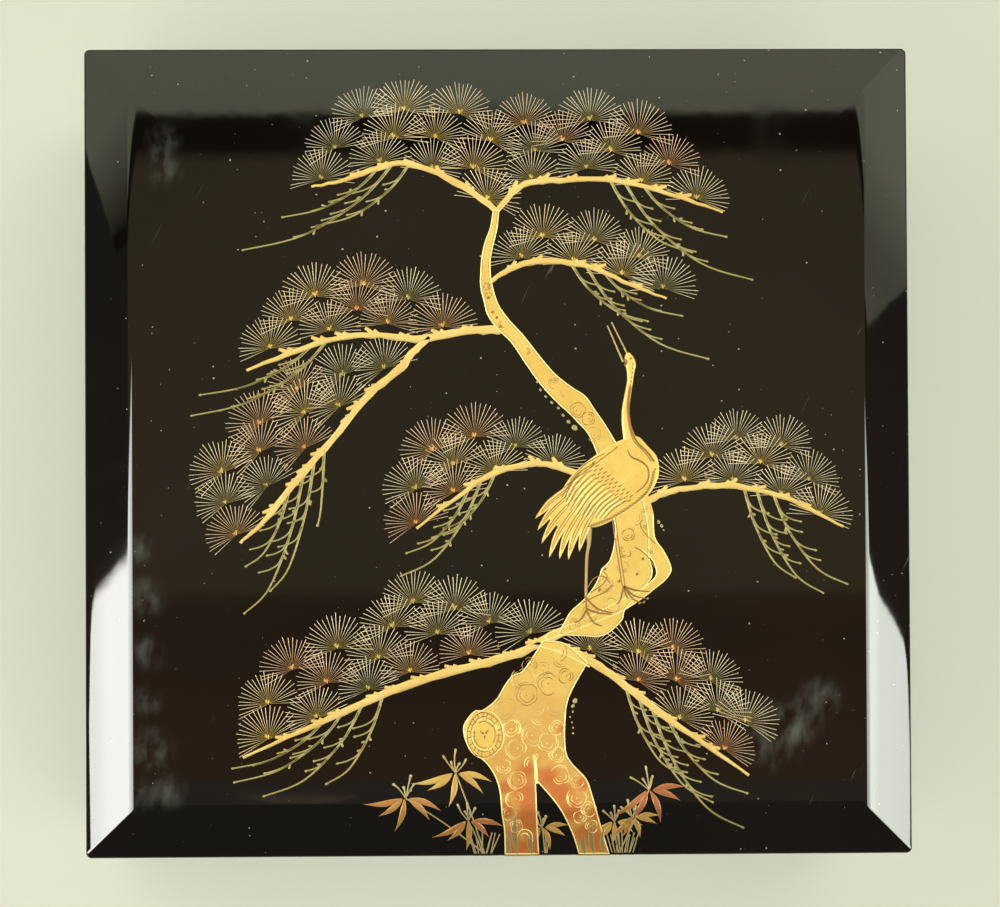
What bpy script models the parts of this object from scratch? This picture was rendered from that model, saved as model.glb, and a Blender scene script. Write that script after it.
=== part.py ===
"""A tiered lacquer food box: square trays that stack under one lid with chamfered edges.

Every tray is a hollow box whose underside carries a stepped foot. The foot drops into the mouth of the
tray below, so the outer walls stand flush. The lid is a shallow hollow cover with a lip that drops into
the mouth of the top tray. Metres, +Z up, the origin at the middle of the underside, the front at -Y.
"""

import math

import bmesh
import bpy
from mathutils import Vector

MM = 0.001

# The stack.
BOX_WIDTH = 240 * MM
BOX_DEPTH = 235 * MM
TRAY_COUNT = 3
TRAY_WALL_HEIGHT = 60 * MM
SEAT_GAP = 0.3 * MM

# Walls and floors.
WALL = 6 * MM
FLOOR_ABOVE_FOOT = 2 * MM
FOOT_HEIGHT = 4 * MM
FIT_GAP = 0.6 * MM

# The lid.
LID_RIM_HEIGHT = 11 * MM
LID_PLATE = 5.5 * MM
LIP_HEIGHT = 4 * MM
LIP_THICKNESS = 3 * MM
CHAMFER_WIDTH = 14 * MM
CHAMFER_DROP = 6.5 * MM

# Softened edges, as lacquer leaves them.
OUTER_CORNER_RADIUS = 1.6 * MM
MITRE_RADIUS = 0.5 * MM
MOUTH_CORNER_RADIUS = 2.2 * MM
RIM_ROUND = 0.9 * MM
FOOT_ROUND = 0.7 * MM
FLOOR_FILLET = 1.8 * MM
CHAMFER_TOE_ROUND = 1.5 * MM
CHAMFER_BROW_ROUND = 6 * MM
ROUND_SHARE = 0.45

# How finely the rounds are cut.
CORNER_STEPS = 4
ROUND_STEPS = 3

BLACK_LACQUER = (0.012, 0.010, 0.009, 1.0)
LACQUER_ROUGHNESS = 0.12

# What follows from the sizes above.
FOOT_INSET = WALL + FIT_GAP
TRAY_PITCH = TRAY_WALL_HEIGHT + SEAT_GAP
FLOOR_TOP = FOOT_HEIGHT + FLOOR_ABOVE_FOOT
TRAY_RIM_TOP = FOOT_HEIGHT + TRAY_WALL_HEIGHT
LID_SEAT = FOOT_HEIGHT + TRAY_COUNT * TRAY_PITCH
LID_HEIGHT = LID_RIM_HEIGHT + CHAMFER_DROP
FOOT_CORNER_RADIUS = max(MOUTH_CORNER_RADIUS - FIT_GAP, MITRE_RADIUS)


def clear_scene():
    """Removes every object of the open scene."""
    for item in list(bpy.data.objects):
        bpy.data.objects.remove(item, do_unlink=True)


def rounded(corners):
    """Turns an open profile of (inset, height, radius) corners into points, with each corner a tangent arc."""
    places = [Vector(corner[:2]) for corner in corners]
    profile = [places[0]]
    for index in range(1, len(corners) - 1):
        corner = places[index]
        side_a = places[index - 1] - corner
        side_b = places[index + 1] - corner
        half_angle = side_a.angle(side_b) / 2
        shortest = min(side_a.length, side_b.length)
        reach = min(corners[index][2] / math.tan(half_angle), ROUND_SHARE * shortest)
        if reach == 0:
            profile.append(corner)
            continue
        toward_a = side_a.normalized()
        toward_b = side_b.normalized()
        bisector = (toward_a + toward_b).normalized()
        centre = corner + bisector * reach / math.cos(half_angle)
        start = (corner + toward_a * reach - centre).normalized()
        end = (corner + toward_b * reach - centre).normalized()
        arc_radius = reach * math.tan(half_angle)
        for step in range(ROUND_STEPS + 1):
            profile.append(centre + start.slerp(end, step / ROUND_STEPS) * arc_radius)
    profile.append(places[-1])
    return profile


def outline_place(station, inset, height, radius):
    """A point of the box's outline, moved in by inset, counted counter-clockwise from above."""
    quarter, step = divmod(station, CORNER_STEPS + 1)
    side_x, side_y = ((1, 1), (-1, 1), (-1, -1), (1, -1))[quarter]
    angle = (quarter + step / CORNER_STEPS) * math.pi / 2
    x = side_x * (BOX_WIDTH / 2 - inset - radius) + radius * math.cos(angle)
    y = side_y * (BOX_DEPTH / 2 - inset - radius) + radius * math.sin(angle)
    return Vector((x, y, height))


def extruded(mesh, ring):
    """Extrudes a ring of edges and returns the new ring's vertices and edges."""
    grown = bmesh.ops.extrude_edge_only(mesh, edges=ring)["geom"]
    verts = [item for item in grown if isinstance(item, bmesh.types.BMVert)]
    edges = [item for item in grown if isinstance(item, bmesh.types.BMEdge)]
    return verts, [edge for edge in edges if edge.is_boundary]


def swept_mesh(profile, corner_radius):
    """Carries a profile, which runs from below out and up to the middle, round the box's outline."""
    mesh = bmesh.new()
    station_of = mesh.verts.layers.int.new("station")
    verts = [mesh.verts.new() for _ in range(4 * (CORNER_STEPS + 1))]
    for station, vert in enumerate(verts):
        vert[station_of] = station
    ring = [mesh.edges.new((verts[index - 1], verts[index])) for index in range(len(verts))]
    for level, (inset, height) in enumerate(profile):
        if level > 0:
            verts, ring = extruded(mesh, ring)
        radius = corner_radius(inset, height)
        for vert in verts:
            vert.co = outline_place(vert[station_of], inset, height, radius)
    rims = [edge for edge in mesh.edges if edge.is_boundary]
    bmesh.ops.holes_fill(mesh, edges=rims, sides=0)
    bmesh.ops.recalc_face_normals(mesh, faces=mesh.faces)
    if mesh.calc_volume(signed=True) < 0:
        bmesh.ops.reverse_faces(mesh, faces=mesh.faces)
    return mesh


def solid_object(name, mesh):
    """Makes a named object of a mesh, in black lacquer of its own."""
    data = bpy.data.meshes.new(name)
    mesh.to_mesh(data)
    mesh.free()
    data.materials.append(lacquer(f"{name}_lacquer"))
    data.shade_smooth()
    data.set_sharp_from_angle(angle=math.radians(30))
    solid = bpy.data.objects.new(name, data)
    bpy.context.scene.collection.objects.link(solid)
    return solid


def lacquer(name):
    """Black lacquer, polished."""
    material = bpy.data.materials.new(name)
    material.use_nodes = True
    shader = material.node_tree.nodes["Principled BSDF"]
    shader.inputs["Base Color"].default_value = BLACK_LACQUER
    shader.inputs["Roughness"].default_value = LACQUER_ROUGHNESS
    shader.inputs["Metallic"].default_value = 0.0
    return material


def tray_corner_radius(inset, height):
    """The plan radius of a tray's outline: its outer corners, its foot's and its mouth's."""
    if inset < WALL / 2:
        return max(OUTER_CORNER_RADIUS - inset, MITRE_RADIUS)
    if height < FLOOR_TOP and inset >= FOOT_INSET:
        return FOOT_CORNER_RADIUS
    return MOUTH_CORNER_RADIUS


def build_tray(name):
    """One hollow tray on its stepped foot, standing on z = 0."""
    rim_round = min(RIM_ROUND, WALL / 3)
    corners = [
        (FOOT_INSET + 2 * FOOT_ROUND, 0, 0),
        (FOOT_INSET, 0, FOOT_ROUND),
        (FOOT_INSET, FOOT_HEIGHT, 0),
        (0, FOOT_HEIGHT, rim_round),
        (0, TRAY_RIM_TOP, rim_round),
        (WALL, TRAY_RIM_TOP, rim_round),
        (WALL, FLOOR_TOP, FLOOR_FILLET),
        (WALL + 2 * FLOOR_FILLET, FLOOR_TOP, 0),
    ]
    return solid_object(name, swept_mesh(rounded(corners), tray_corner_radius))


def lid_corner_radius(inset, height):
    """The plan radius of the lid's outline: it sharpens to a mitre up the chamfer."""
    if height < LID_RIM_HEIGHT - LID_PLATE and inset >= WALL:
        return FOOT_CORNER_RADIUS
    share = min(inset / CHAMFER_WIDTH, 1)
    return OUTER_CORNER_RADIUS + (MITRE_RADIUS - OUTER_CORNER_RADIUS) * share


def build_lid(name):
    """The hollow lid, with the underside of its rim on z = 0 and its lip below."""
    ceiling = LID_HEIGHT - LID_PLATE
    lip_inside = FOOT_INSET + LIP_THICKNESS
    rim_round = min(RIM_ROUND, WALL / 3)
    lip_round = min(FOOT_ROUND, LIP_THICKNESS / 3)
    corners = [
        (lip_inside + 2 * FLOOR_FILLET, ceiling, 0),
        (lip_inside, ceiling, FLOOR_FILLET),
        (lip_inside, -LIP_HEIGHT, lip_round),
        (FOOT_INSET, -LIP_HEIGHT, lip_round),
        (FOOT_INSET, 0, 0),
        (0, 0, rim_round),
        (0, LID_RIM_HEIGHT, CHAMFER_TOE_ROUND),
        (CHAMFER_WIDTH, LID_HEIGHT, CHAMFER_BROW_ROUND),
        (2 * CHAMFER_WIDTH, LID_HEIGHT, 0),
    ]
    return solid_object(name, swept_mesh(rounded(corners), lid_corner_radius))


def build_food_box():
    """The trays from the bottom up, and the lid on the top one."""
    stack = bpy.data.objects.new("stack", None)
    bpy.context.scene.collection.objects.link(stack)
    for level in range(TRAY_COUNT):
        tray = build_tray(f"tray_{level + 1}")
        tray.parent = stack
        tray.location.z = level * TRAY_PITCH
    lid = build_lid("lid")
    lid.parent = stack
    lid.location.z = LID_SEAT


clear_scene()
build_food_box()
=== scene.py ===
"""The looks of a tiered lacquer food box: black lacquer, and on the lid a pine and a crane in gold.

The picture is laid on in strokes and plates of gold a few tenths of a millimetre high. Its places are
millimetres on the lid, x to the right and y to the back, from the middle.
"""

import math
import random
from collections import namedtuple

import bmesh
import bpy
from bpy.props import FloatProperty, FloatVectorProperty, IntProperty, PointerProperty
from mathutils import Matrix, Vector
from mathutils.geometry import interpolate_bezier


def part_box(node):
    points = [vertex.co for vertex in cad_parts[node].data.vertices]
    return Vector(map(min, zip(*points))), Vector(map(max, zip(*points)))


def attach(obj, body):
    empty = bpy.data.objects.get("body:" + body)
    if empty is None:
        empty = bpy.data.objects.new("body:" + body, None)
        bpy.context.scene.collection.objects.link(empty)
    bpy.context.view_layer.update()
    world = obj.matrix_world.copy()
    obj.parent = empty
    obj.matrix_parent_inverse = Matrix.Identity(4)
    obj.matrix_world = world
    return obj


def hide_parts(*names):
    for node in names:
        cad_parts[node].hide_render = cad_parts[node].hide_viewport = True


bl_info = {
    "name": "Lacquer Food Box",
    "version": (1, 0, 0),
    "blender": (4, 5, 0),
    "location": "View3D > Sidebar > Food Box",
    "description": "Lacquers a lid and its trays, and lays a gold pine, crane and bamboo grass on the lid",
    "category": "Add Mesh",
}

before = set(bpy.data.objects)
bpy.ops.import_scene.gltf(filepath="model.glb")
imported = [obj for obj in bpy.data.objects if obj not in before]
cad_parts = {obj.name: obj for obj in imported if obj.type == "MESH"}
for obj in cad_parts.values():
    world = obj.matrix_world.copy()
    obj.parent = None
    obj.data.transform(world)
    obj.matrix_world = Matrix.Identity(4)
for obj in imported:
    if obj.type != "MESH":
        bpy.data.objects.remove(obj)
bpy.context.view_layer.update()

MM = 0.001

# The lid and the trays, from the frame.
LID_LOW, LID_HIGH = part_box("lid")
HALF_WIDTH = LID_HIGH.x / MM
HALF_DEPTH = LID_HIGH.y / MM
TRAYS = sorted(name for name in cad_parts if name.startswith("tray_"))

# How a stroke stands on the lacquer from edge to edge, as shares of its half width and its height.
DOME = ((-1, -0.1), (-0.84, 0.74), (-0.4, 1), (0.4, 1), (0.84, 0.74), (1, -0.1))
FLAT_LINE = ((-1, -0.1), (-0.5, 1), (0.5, 1), (1, -0.1))
RIDGE = ((-1, -0.1), (0, 1), (1, -0.1))

# The stem above the crane: (x, y, half width), from its fork down.
STEM = (
    (-0.4, 70, 0.95), (-1.2, 64.5, 1.1), (-2.5, 60.3, 1.35), (-3.4, 56, 1.4), (-3.6, 51.9, 1.5),
    (-3.4, 48, 1.8), (-2.3, 43.5, 1.9), (-1, 40, 2.2), (1.8, 36.3, 2.2), (5.6, 32.3, 2.1), (10.3, 25.8, 2.4),
    (14.7, 20.2, 2.7), (19.6, 15.7, 3.2), (22.8, 13.2, 3.5), (25.2, 10.2, 3.2), (28.7, 5.6, 2.9),
    (33, -3, 3.6), (36, -10, 4.4),
)

# The outlines of the trunk. Two like points in a row make a corner.
UPPER_TRUNK = (
    (31, -12), (31, -12), (33.4, -21), (33.5, -25), (32.9, -29), (31.7, -32.3), (29.6, -34.4), (28.9, -36.4),
    (27.4, -39.4), (24.6, -43), (20.7, -46.5), (19.2, -48.8), (16.6, -53.6), (16.6, -53.6), (24.2, -53.9),
    (28, -54.2), (31, -53.4), (33.6, -51.4), (35.7, -49), (36.4, -46.4), (40, -42.2), (43.4, -38.2),
    (44.2, -36.6), (44.4, -34.6), (43.6, -31.4), (43.6, -26), (43, -20), (41.5, -12), (41.5, -12),
)
SIDE_LIMB = (
    (39, -13), (39, -13), (43.2, -13), (43.2, -13), (44.8, -18.5), (45.2, -25.2), (47.8, -29.3), (49.6, -33),
    (49.8, -35.4), (48, -38), (44.6, -40.7), (42.2, -42.6), (36.4, -46.4), (32.3, -48.3), (27.1, -50.3),
    (21.3, -52.4), (14, -55), (13.5, -53.2), (17.5, -51.4), (24.8, -48.6), (30.6, -45.7), (36.4, -42.8),
    (41, -40.3), (43.6, -38.3), (45.2, -36.5), (45.3, -34.4), (43.9, -31.5), (41.5, -29.3), (39, -28.2),
    (39, -28.2), (40, -20),
)
LOWER_TRUNK = (
    (12.5, -55), (12.5, -55), (9.3, -60), (6.3, -64), (3.8, -65), (1.5, -67.6), (-1.2, -72), (-5, -75),
    (-7.4, -75.3), (-9.9, -78), (-10.8, -81), (-9.2, -86), (-4.2, -90.5), (-1.6, -94.5), (-0.3, -99),
    (0.2, -105), (1, -110), (1.3, -117.2), (1.3, -117.2), (11.3, -117.2), (11.3, -117.2), (10.6, -106),
    (10.2, -95.5), (10.2, -95.5), (16.5, -103), (20.5, -110.5), (22.8, -117.2), (22.8, -117.2),
    (31.8, -117.2), (31.8, -117.2), (29, -108.5), (26.3, -99), (24.6, -94.8), (20.6, -90.5), (19, -87),
    (18.8, -79.5), (20, -71.5), (25.5, -61.5), (25.5, -61.5), (19, -56),
)
KNOT = (-4.6, -82.2)
TRUNK_SPLIT = ((10.4, -96.5, 0.5), (10.1, -91, 0.45), (9.5, -88, 0.12))
COLLAR = ((11.5, -56.8, 0.22), (16.5, -58.2, 0.22), (21, -60.2, 0.22), (26, -62.8, 0.22))

# For the stem, the upper trunk, its side limb and the lower trunk: each one's height as a share of the
# trunk's, the breadth of its eased edge, and how far apart the marks of its bark are.
TRUNK_SHARES = (1, 0.96, 1, 1)
TRUNK_EDGES = (0.45, 0.45, 0.12, 0.45)
BARK_PITCHES = (3.4, 4.4, 3.2, 4.6)

# Drawn on the trunk: lines and spots of the bark, and tongues of (x, height, breadth) that rise from below.
LIMB_LINES = (
    ((41.8, -20.3), (41, -21), (41.1, -22.3), (41.9, -23.7), (43.4, -25.4), (45.2, -27.2)),
    ((39.3, -28.3), (41.3, -29.4), (43.3, -31.3), (45.1, -34.2)),
    ((25.6, -39.8), (27.4, -37.2), (30, -36.6), (32, -38.4)),
    ((26.4, -41.2), (29.6, -39.2), (31.2, -36.8), (30.2, -35.2)),
    ((24, -44.2), (27.4, -42.6), (30.8, -41), (32.8, -39)),
)
BARK_SPOTS = (
    (41.6, -31.6), (39.9, -36), (34.7, -38), (30.6, -34.5), (28.9, -40.6), (-1.6, 40.2), (-0.4, 38.6),
    (0.6, 36),
)
ROOT_TONGUES = (
    (2.9, 7.5, 1.5), (5.2, 13, 1.9), (9.2, 8, 1.7), (24.6, 7, 1.6), (27.2, 10.5, 1.8), (30.2, 7.5, 1.4),
)
TONGUE_FOOT = -117

# Curls of bark that are drawn in full: (x, y, radius).
BARK_CURLS = (
    (-3.2, 47.6, 1.0), (-2.8, 45, 0.9), (16, 19.4, 1.5), (22.9, 11.6, 2.2), (26, 9.2, 2.0), (27.6, 4.6, 2.1),
    (36.4, -29.5, 1.8), (35.7, -33.8, 1.6), (30.8, -39, 2.2), (37.4, -24.6, 1.8), (32.5, -45.2, 2.3),
    (26, -47.5, 2.4), (21.6, -50.6, 1.7), (8.5, -62.2, 2.2), (12.2, -63.6, 2.3), (6.6, -66.2, 3.0),
    (7.8, -70.8, 3.2), (14, -67.8, 3.1), (19, -65.4, 2.2), (1.4, -74.6, 3.2), (3.2, -80.4, 2.4),
    (4.7, -86.3, 2.8), (9.4, -82.6, 2.9), (13.6, -84.6, 2.8), (16.4, -80.4, 2.2), (16.4, -88.2, 2.3),
    (5, -95.4, 2.5), (0.9, -91.4, 2.1), (4.2, -100.9, 2.4), (2.4, -105, 2.1), (4.6, -108.8, 1.9),
    (17.4, -94.2, 2.6), (22, -95.6, 2.2), (22.2, -100.7, 2.7), (25.5, -104, 2.2), (22.9, -106.2, 1.9),
    (26.4, -109, 1.9),
)

# Where the lower trunk turns orange: (x, y, radius).
ORANGE_PLACES = (
    (7.6, -92.5, 5), (8, -99.5, 6), (8.7, -107, 6), (1.4, -97.5, 3), (1.2, -104, 3.5), (1.8, -113, 5.5),
    (10, -114.9, 5), (13.6, -94.2, 5), (17.4, -99.5, 5.5), (20.8, -104.5, 4.5), (23.8, -96.6, 3),
    (25.2, -111.7, 5), (29, -114, 4.5), (27.4, -105.5, 3), (18.2, -80.8, 3), (6, -116, 4),
)

# A bough: its path of (x, y, half width) from the stem out, the roots of its fans of needles, how rusty the
# fans are, and its hanging twigs as (share of the bough where it starts, tip x, tip y).
Bough = namedtuple("Bough", "path fans rust twigs")
BOUGHS = {
    "crown_left": Bough(
        ((0, 69.4, 1.0), (-8, 75.5, 1.25), (-19.5, 81.5, 1.1), (-28.5, 83.5, 1.0), (-37, 81.5, 1.0),
         (-45.5, 78.5, 0.8), (-54, 76.8, 0.45)),
        ((-51, 79), (-34, 84), (-19, 82), (-7, 82), (-3, 73), (-47, 88), (-30, 91), (-18, 91), (-2, 90),
         (-39, 97), (-27, 99), (-11, 98)),
        0.15, ((0.5, -52, 65.5), (0.58, -73.5, 58.5), (0.66, -62, 68)),
    ),
    "crown_right": Bough(
        ((-0.6, 69, 1.0), (5, 75.5, 1.15), (10.5, 78, 1.1), (18, 78.5, 1.1), (32.5, 78.5, 0.95),
         (44.5, 76, 0.85), (56, 72.5, 0.7), (65.5, 69, 0.4)),
        ((10, 79), (26, 82), (42, 78), (58, 73), (11, 87), (19, 90), (33, 87), (50, 83), (8, 95), (27, 96),
         (41, 92)),
        0.15, ((0.52, 56, 57.5), (0.58, 73.5, 49.5), (0.66, 66, 62)),
    ),
    "upper_right": Bough(
        ((-2.6, 49, 0.9), (5, 53.3, 1.0), (13.5, 55, 1.1), (27, 53.2, 0.95), (38.5, 48, 0.75), (49, 44, 0.4)),
        ((7, 56), (22, 55), (36, 51), (48, 47), (13, 62), (28, 61), (41, 56)),
        0.25, ((0.46, 43, 37.5), (0.54, 60.5, 26.5), (0.64, 53, 39)),
    ),
    "upper_left": Bough(
        ((3, 35.4, 1.9), (-3, 35, 1.6), (-11, 34.6, 1.4), (-22, 32.5, 1.4), (-34.5, 33.5, 1.1),
         (-46, 33, 1.0), (-57.5, 29.5, 1.0), (-73, 23.5, 0.45)),
        ((-66, 30), (-49, 35), (-32, 37), (-16, 36), (-60, 38), (-41, 41), (-53, 45), (-39, 48), (-26, 44)),
        0.35, ((0.68, -88.5, 10.5), (0.74, -86, 16.5)),
    ),
    "lower_left": Bough(
        ((-20, 33, 1.2), (-25, 28.5, 1.3), (-28.5, 24, 1.4), (-37.5, 16.5, 1.3), (-46, 6, 1.2),
         (-57.5, -7, 1.2), (-68, -20, 0.9), (-75, -26.5, 0.5)),
        ((-33, 24), (-45, 22), (-46, 13), (-56, 11), (-56, 1), (-69, 0), (-67, -10), (-79, -15), (-76, -24),
         (-58, 18), (-69, 8), (-80, -6)),
        0.5, ((0.55, -52.5, -21), (0.6, -66, -40), (0.66, -73.5, -46.5), (0.74, -73, -33)),
    ),
    "middle_left": Bough(
        ((26, -8, 1.2), (15.5, -4.5, 1.2), (9, -4, 1.1), (-2.5, -7, 1.1), (-11.5, -13, 0.8),
         (-24, -22.5, 0.45)),
        ((-19, 0), (-7, 4), (5, 1), (16, -4), (-13, -4), (-1, -6), (-24, -11), (-13, -12), (-24, -21)),
        0.65, ((0.5, -19, -25), (0.58, -28, -36), (0.66, -26.5, -29.5)),
    ),
    "middle_right": Bough(
        ((41, -16, 1.3), (48, -12.5, 1.2), (55.5, -11, 1.1), (67, -10.5, 1.1), (78.5, -12.5, 0.9),
         (87.5, -16, 0.8), (100, -22.5, 0.4)),
        ((54, -9), (68, -9), (82, -13), (93, -19), (62, -2), (76, -4), (90, -9), (69, 3), (82, 1)),
        0.5, ((0.5, 85.5, -37), (0.56, 93.5, -41.5), (0.64, 100.5, -39)),
    ),
    "foot_left": Bough(
        ((24, -51, 1.3), (14, -54.4, 1.6), (6, -58.6, 1.6), (-6, -62, 1.5), (-23, -66.5, 1.5),
         (-37.5, -72, 1.4), (-52, -78.5, 1.0), (-74.5, -88.5, 0.45)),
        ((9, -53), (-3, -50), (-13, -46), (-25, -44), (-31, -51), (-18, -53), (-9, -59), (-26, -64),
         (-38, -69), (-53, -77), (-67, -83), (-35, -60), (-47, -57), (-60, -63), (-50, -67), (-67, -73)),
        0.4, ((0.58, -50, -96), (0.64, -68, -99.5), (0.7, -76.5, -95.5), (0.76, -77, -91.5)),
    ),
    "foot_right": Bough(
        ((8, -55.4, 1.0), (17, -57.3, 1.7), (24.5, -60.2, 1.6), (32, -65, 1.4), (43.5, -74, 1.3),
         (55, -82.5, 1.0), (72, -94.5, 0.45)),
        ((26, -58), (40, -67), (52, -78), (65, -87), (40, -59), (51, -67), (63, -76), (71, -79), (50, -58),
         (61, -67)),
        0.3, ((0.42, 52, -94), (0.48, 61, -102), (0.54, 70, -109.5), (0.62, 71, -99.5)),
    ),
}

# The crane. Its neck, bill and far leg are paths of (x, y, half width), and a plume is its root's x and y and
# its tip's. The near leg's toes start at its foot, and those of the far leg one below the other.
CRANE_BODY = (
    (35.8, 3), (31.5, 1), (28, -1.5), (24, -4.5), (20.5, -8), (18.3, -11.2), (15.6, -14.2), (14.2, -17.4),
    (14.6, -20), (16.6, -22), (19.4, -22.8), (22.5, -22.6), (25.8, -22.6), (30, -21.8), (36, -18.6),
    (40.5, -15.6), (43.8, -12.6), (46, -8.6), (46.5, -5.4), (45.8, -1.8), (43.3, 1), (40.2, 4),
)
CRANE_NECK = (
    (39, 0.5, 3.1), (37.8, 4, 1.8), (37, 8, 1.35), (36.9, 12, 1.12), (37.5, 16, 0.98), (38.2, 20, 0.92),
    (38.4, 22.6, 1.15), (38.4, 24.8, 1.6), (37.9, 26.8, 1.35), (37.6, 28.2, 0.55),
)
CRANE_BILL = (((36.2, 25.6, 0.34), (31.7, 36.2, 0.22)), ((37.6, 27.6, 0.32), (32.9, 37.2, 0.22)))
PLUMES = (
    (24, -8.6, 10.4, -19.8), (23.6, -10.4, 11, -23.2), (23.8, -12.2, 12.2, -27), (24.6, -13.6, 14.4, -31.2),
    (25.8, -14.6, 17.4, -31.6), (27.2, -15.4, 20, -31.8), (28.8, -16.2, 23.2, -29.4),
)
FAR_LEG = ((25.8, -22.8, 1.2), (26, -27, 0.62), (25.3, -31.5, 0.45), (25, -42.5, 0.45))
NEAR_FOOT = (36, -39.5)
NEAR_LEG = ((33.3, -20), (34, -26), (35, -33), NEAR_FOOT)
NEAR_TOES = ((7.6, -1.6), (6.4, -3.6), (6, -5), (-2.2, -5.2), (1.4, -3.6))
FAR_FOOT = (25.1, -43)
FAR_TOES = ((0, 7.9, -4.2), (-3, 7.6, -1.6), (-3.6, 4.6, -4.4), (-3.4, -3.6, -3.6))

# Clumps of bamboo grass: the node's place, how far it is turned, its size, and how rusty its leaves are.
# Leaves and buds have an angle in degrees and a length, a leaf's shape goes by shares of its length and its
# breadth, and the roots are (x, half breadth) of the tufts on the ground.
GRASS_CLUMPS = (
    (-27.5, -100.5, -4, 1.0, 0.75), (-13, -93.3, 0, 1.0, 0.15), (-9.4, -107.2, 6, 0.88, 0.7),
    (12, -109.2, 24, 0.72, 0.5), (33, -107.6, 10, 0.72, 0.45), (38.2, -106.4, 26, 0.72, 0.55),
    (43, -98.6, 24, 1.0, 0.85),
)
LEAF_SPREAD = ((-163, 13), (-142, 10), (-100, 10.5), (-44, 9.5), (-18, 11))
BUD_SPREAD = ((124, 5.6), (106, 3), (84, 6.2), (66, 2.6), (58, 4))
LEAF_SHAPE = (
    (0.0, 0.1), (0.1, 0.5), (0.25, 0.88), (0.42, 1.0), (0.6, 0.82), (0.78, 0.45), (0.9, 0.18), (1.0, 0.04),
)
GRASS_ROOTS = ((-5, 4), (13.5, 1), (35.5, 4.5))
GROUND = -116.8

# Spots of lichen beside the bark: (x, y, half width) from one end of a run to the other, and how many.
LICHEN_RUNS = (
    ((10, 22, 0.25), (13.5, 16, 0.45), (18, 11, 0.4), (22, 6.5, 0.75), 9),
    ((22, -72.8, 0.75), (20.6, -76, 0.3), (21, -82, 0.3), 7),
    ((46.6, -20.8, 0.55), (47.4, -23.4, 0.3), 3),
    ((40.8, -44.8, 0.35), (43, -43.2, 0.35), 3),
)

# Milky patches on the lid's flat: (x, y, radius).
HAZE_PLACES = (
    (-97, 90, 7), (-96.5, 82, 7), (79, -83, 13), (86, -79, 10), (93, -72, 8), (-104, -28, 6), (-103, -42, 8),
    (-102, -58, 7), (-102, -72, 6), (-101, -86, 9), (-96, -98, 7), (-104, -99, 7),
)

# The picture's plainer end on the box's front, as (x, height over the seam under the lid): the trunk's feet
# on the lid's rim, and on the top tray the feet's roots, the lines of the ground and more bamboo grass.
RIM_FEET = (
    ((1.2, 9.9), (1.2, 9.9), (0.9, 0.9), (0.9, 0.9), (11.8, 0.9), (11.8, 0.9), (11.4, 9.9), (11.4, 9.9)),
    ((22.7, 9.9), (22.7, 9.9), (22.6, 0.9), (22.6, 0.9), (32.9, 0.9), (32.9, 0.9), (32, 9.9), (32, 9.9)),
)
ROOTS = (
    ((0.6, -1.3), (0.6, -1.3), (-0.2, -8.5), (-2.4, -16.5), (-7, -23.5), (-14, -28.6), (-20.5, -31),
     (-20.2, -32.6), (-11.5, -32.3), (-6.5, -31.2), (-3.6, -33.8), (-5.2, -37.2), (-2.2, -38), (1.4, -34.4),
     (4, -32), (6, -33.8), (8, -37.4), (11, -38), (10.6, -34.4), (11.6, -29.8), (13.8, -25.5), (13.4, -18),
     (12.6, -9), (12.1, -1.3), (12.1, -1.3)),
    ((22.4, -1.3), (22.4, -1.3), (21.8, -10), (20.4, -18.5), (17.6, -25), (18.4, -28.4), (22.8, -27.2),
     (25.2, -31), (27.8, -34), (29, -37.2), (32, -36.6), (32.4, -32), (36, -30.4), (41, -32), (47.4, -32.4),
     (50.4, -30.8), (47, -28.8), (42, -27.2), (38, -23.3), (35.8, -17), (34.3, -9), (33.4, -1.3),
     (33.4, -1.3)),
)
GROUND_LINES = (
    ((-52, -40, 0.06), (-33, -38.8, 0.22), (-14, -39.8, 0.2), (3, -41, 0.06)),
    ((-2, -42.4, 0.06), (18, -41, 0.24), (38, -39.8, 0.22), (66, -41, 0.06)),
    ((-24, -44.2, 0.06), (-6, -43.8, 0.16), (12, -44.8, 0.06)),
)
FRONT_CLUMPS = (
    (-29, -22, -4, 0.95, 0.65), (-14.5, -14.5, 4, 0.85, 0.2), (45.5, -16.5, 14, 0.95, 0.8),
    (57.5, -25, 8, 0.8, 0.4),
)
FRONT_TUFTS = ((-22, 4), (50.5, 3.5))
FRONT_GROUND = -39.2


# Sizes and colours that a user would change.


def length(name, description, millimetres):
    """A length that a user can change."""
    return FloatProperty(
        name=name, description=description, default=millimetres * MM, min=0, precision=5, subtype="DISTANCE",
        unit="LENGTH",
    )


def colour(name, description, red, green, blue):
    """A colour that a user can change."""
    return FloatVectorProperty(
        name=name, description=description, default=(red, green, blue), min=0, max=1, subtype="COLOR",
    )


class FoodBoxLidSizes(bpy.types.PropertyGroup):
    """The lid's section, where the frame's box doesn't give it."""

    rim_height: length("Rim height", "Height of the lid's upright side", 11)
    chamfer_width: length("Chamfer width", "How far the slope runs in from the side", 14)
    plate: length("Plate", "Thickness of the lid's top", 5.5)
    lip_inset: length("Lip inset", "How far the lip stands in from the side", 6.6)
    lip: length("Lip", "Thickness of the lip", 3)
    lip_height: length("Lip height", "How far the lip reaches down into the tray", 4)
    toe_round: length("Toe round", "Radius where the side meets the slope", 0.8)
    brow_round: length("Brow round", "Radius where the slope meets the flat", 8)
    edge_round: length("Edge round", "Radius of the lid's lower edges", 0.8)
    corner_round: length("Corner round", "Radius of the upright corners", 1.6)
    mitre_round: length("Mitre round", "Radius of the corners at the flat", 0.5)
    crown: length("Slope crown", "How far the slope's middle bulges", 0.15)


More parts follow.
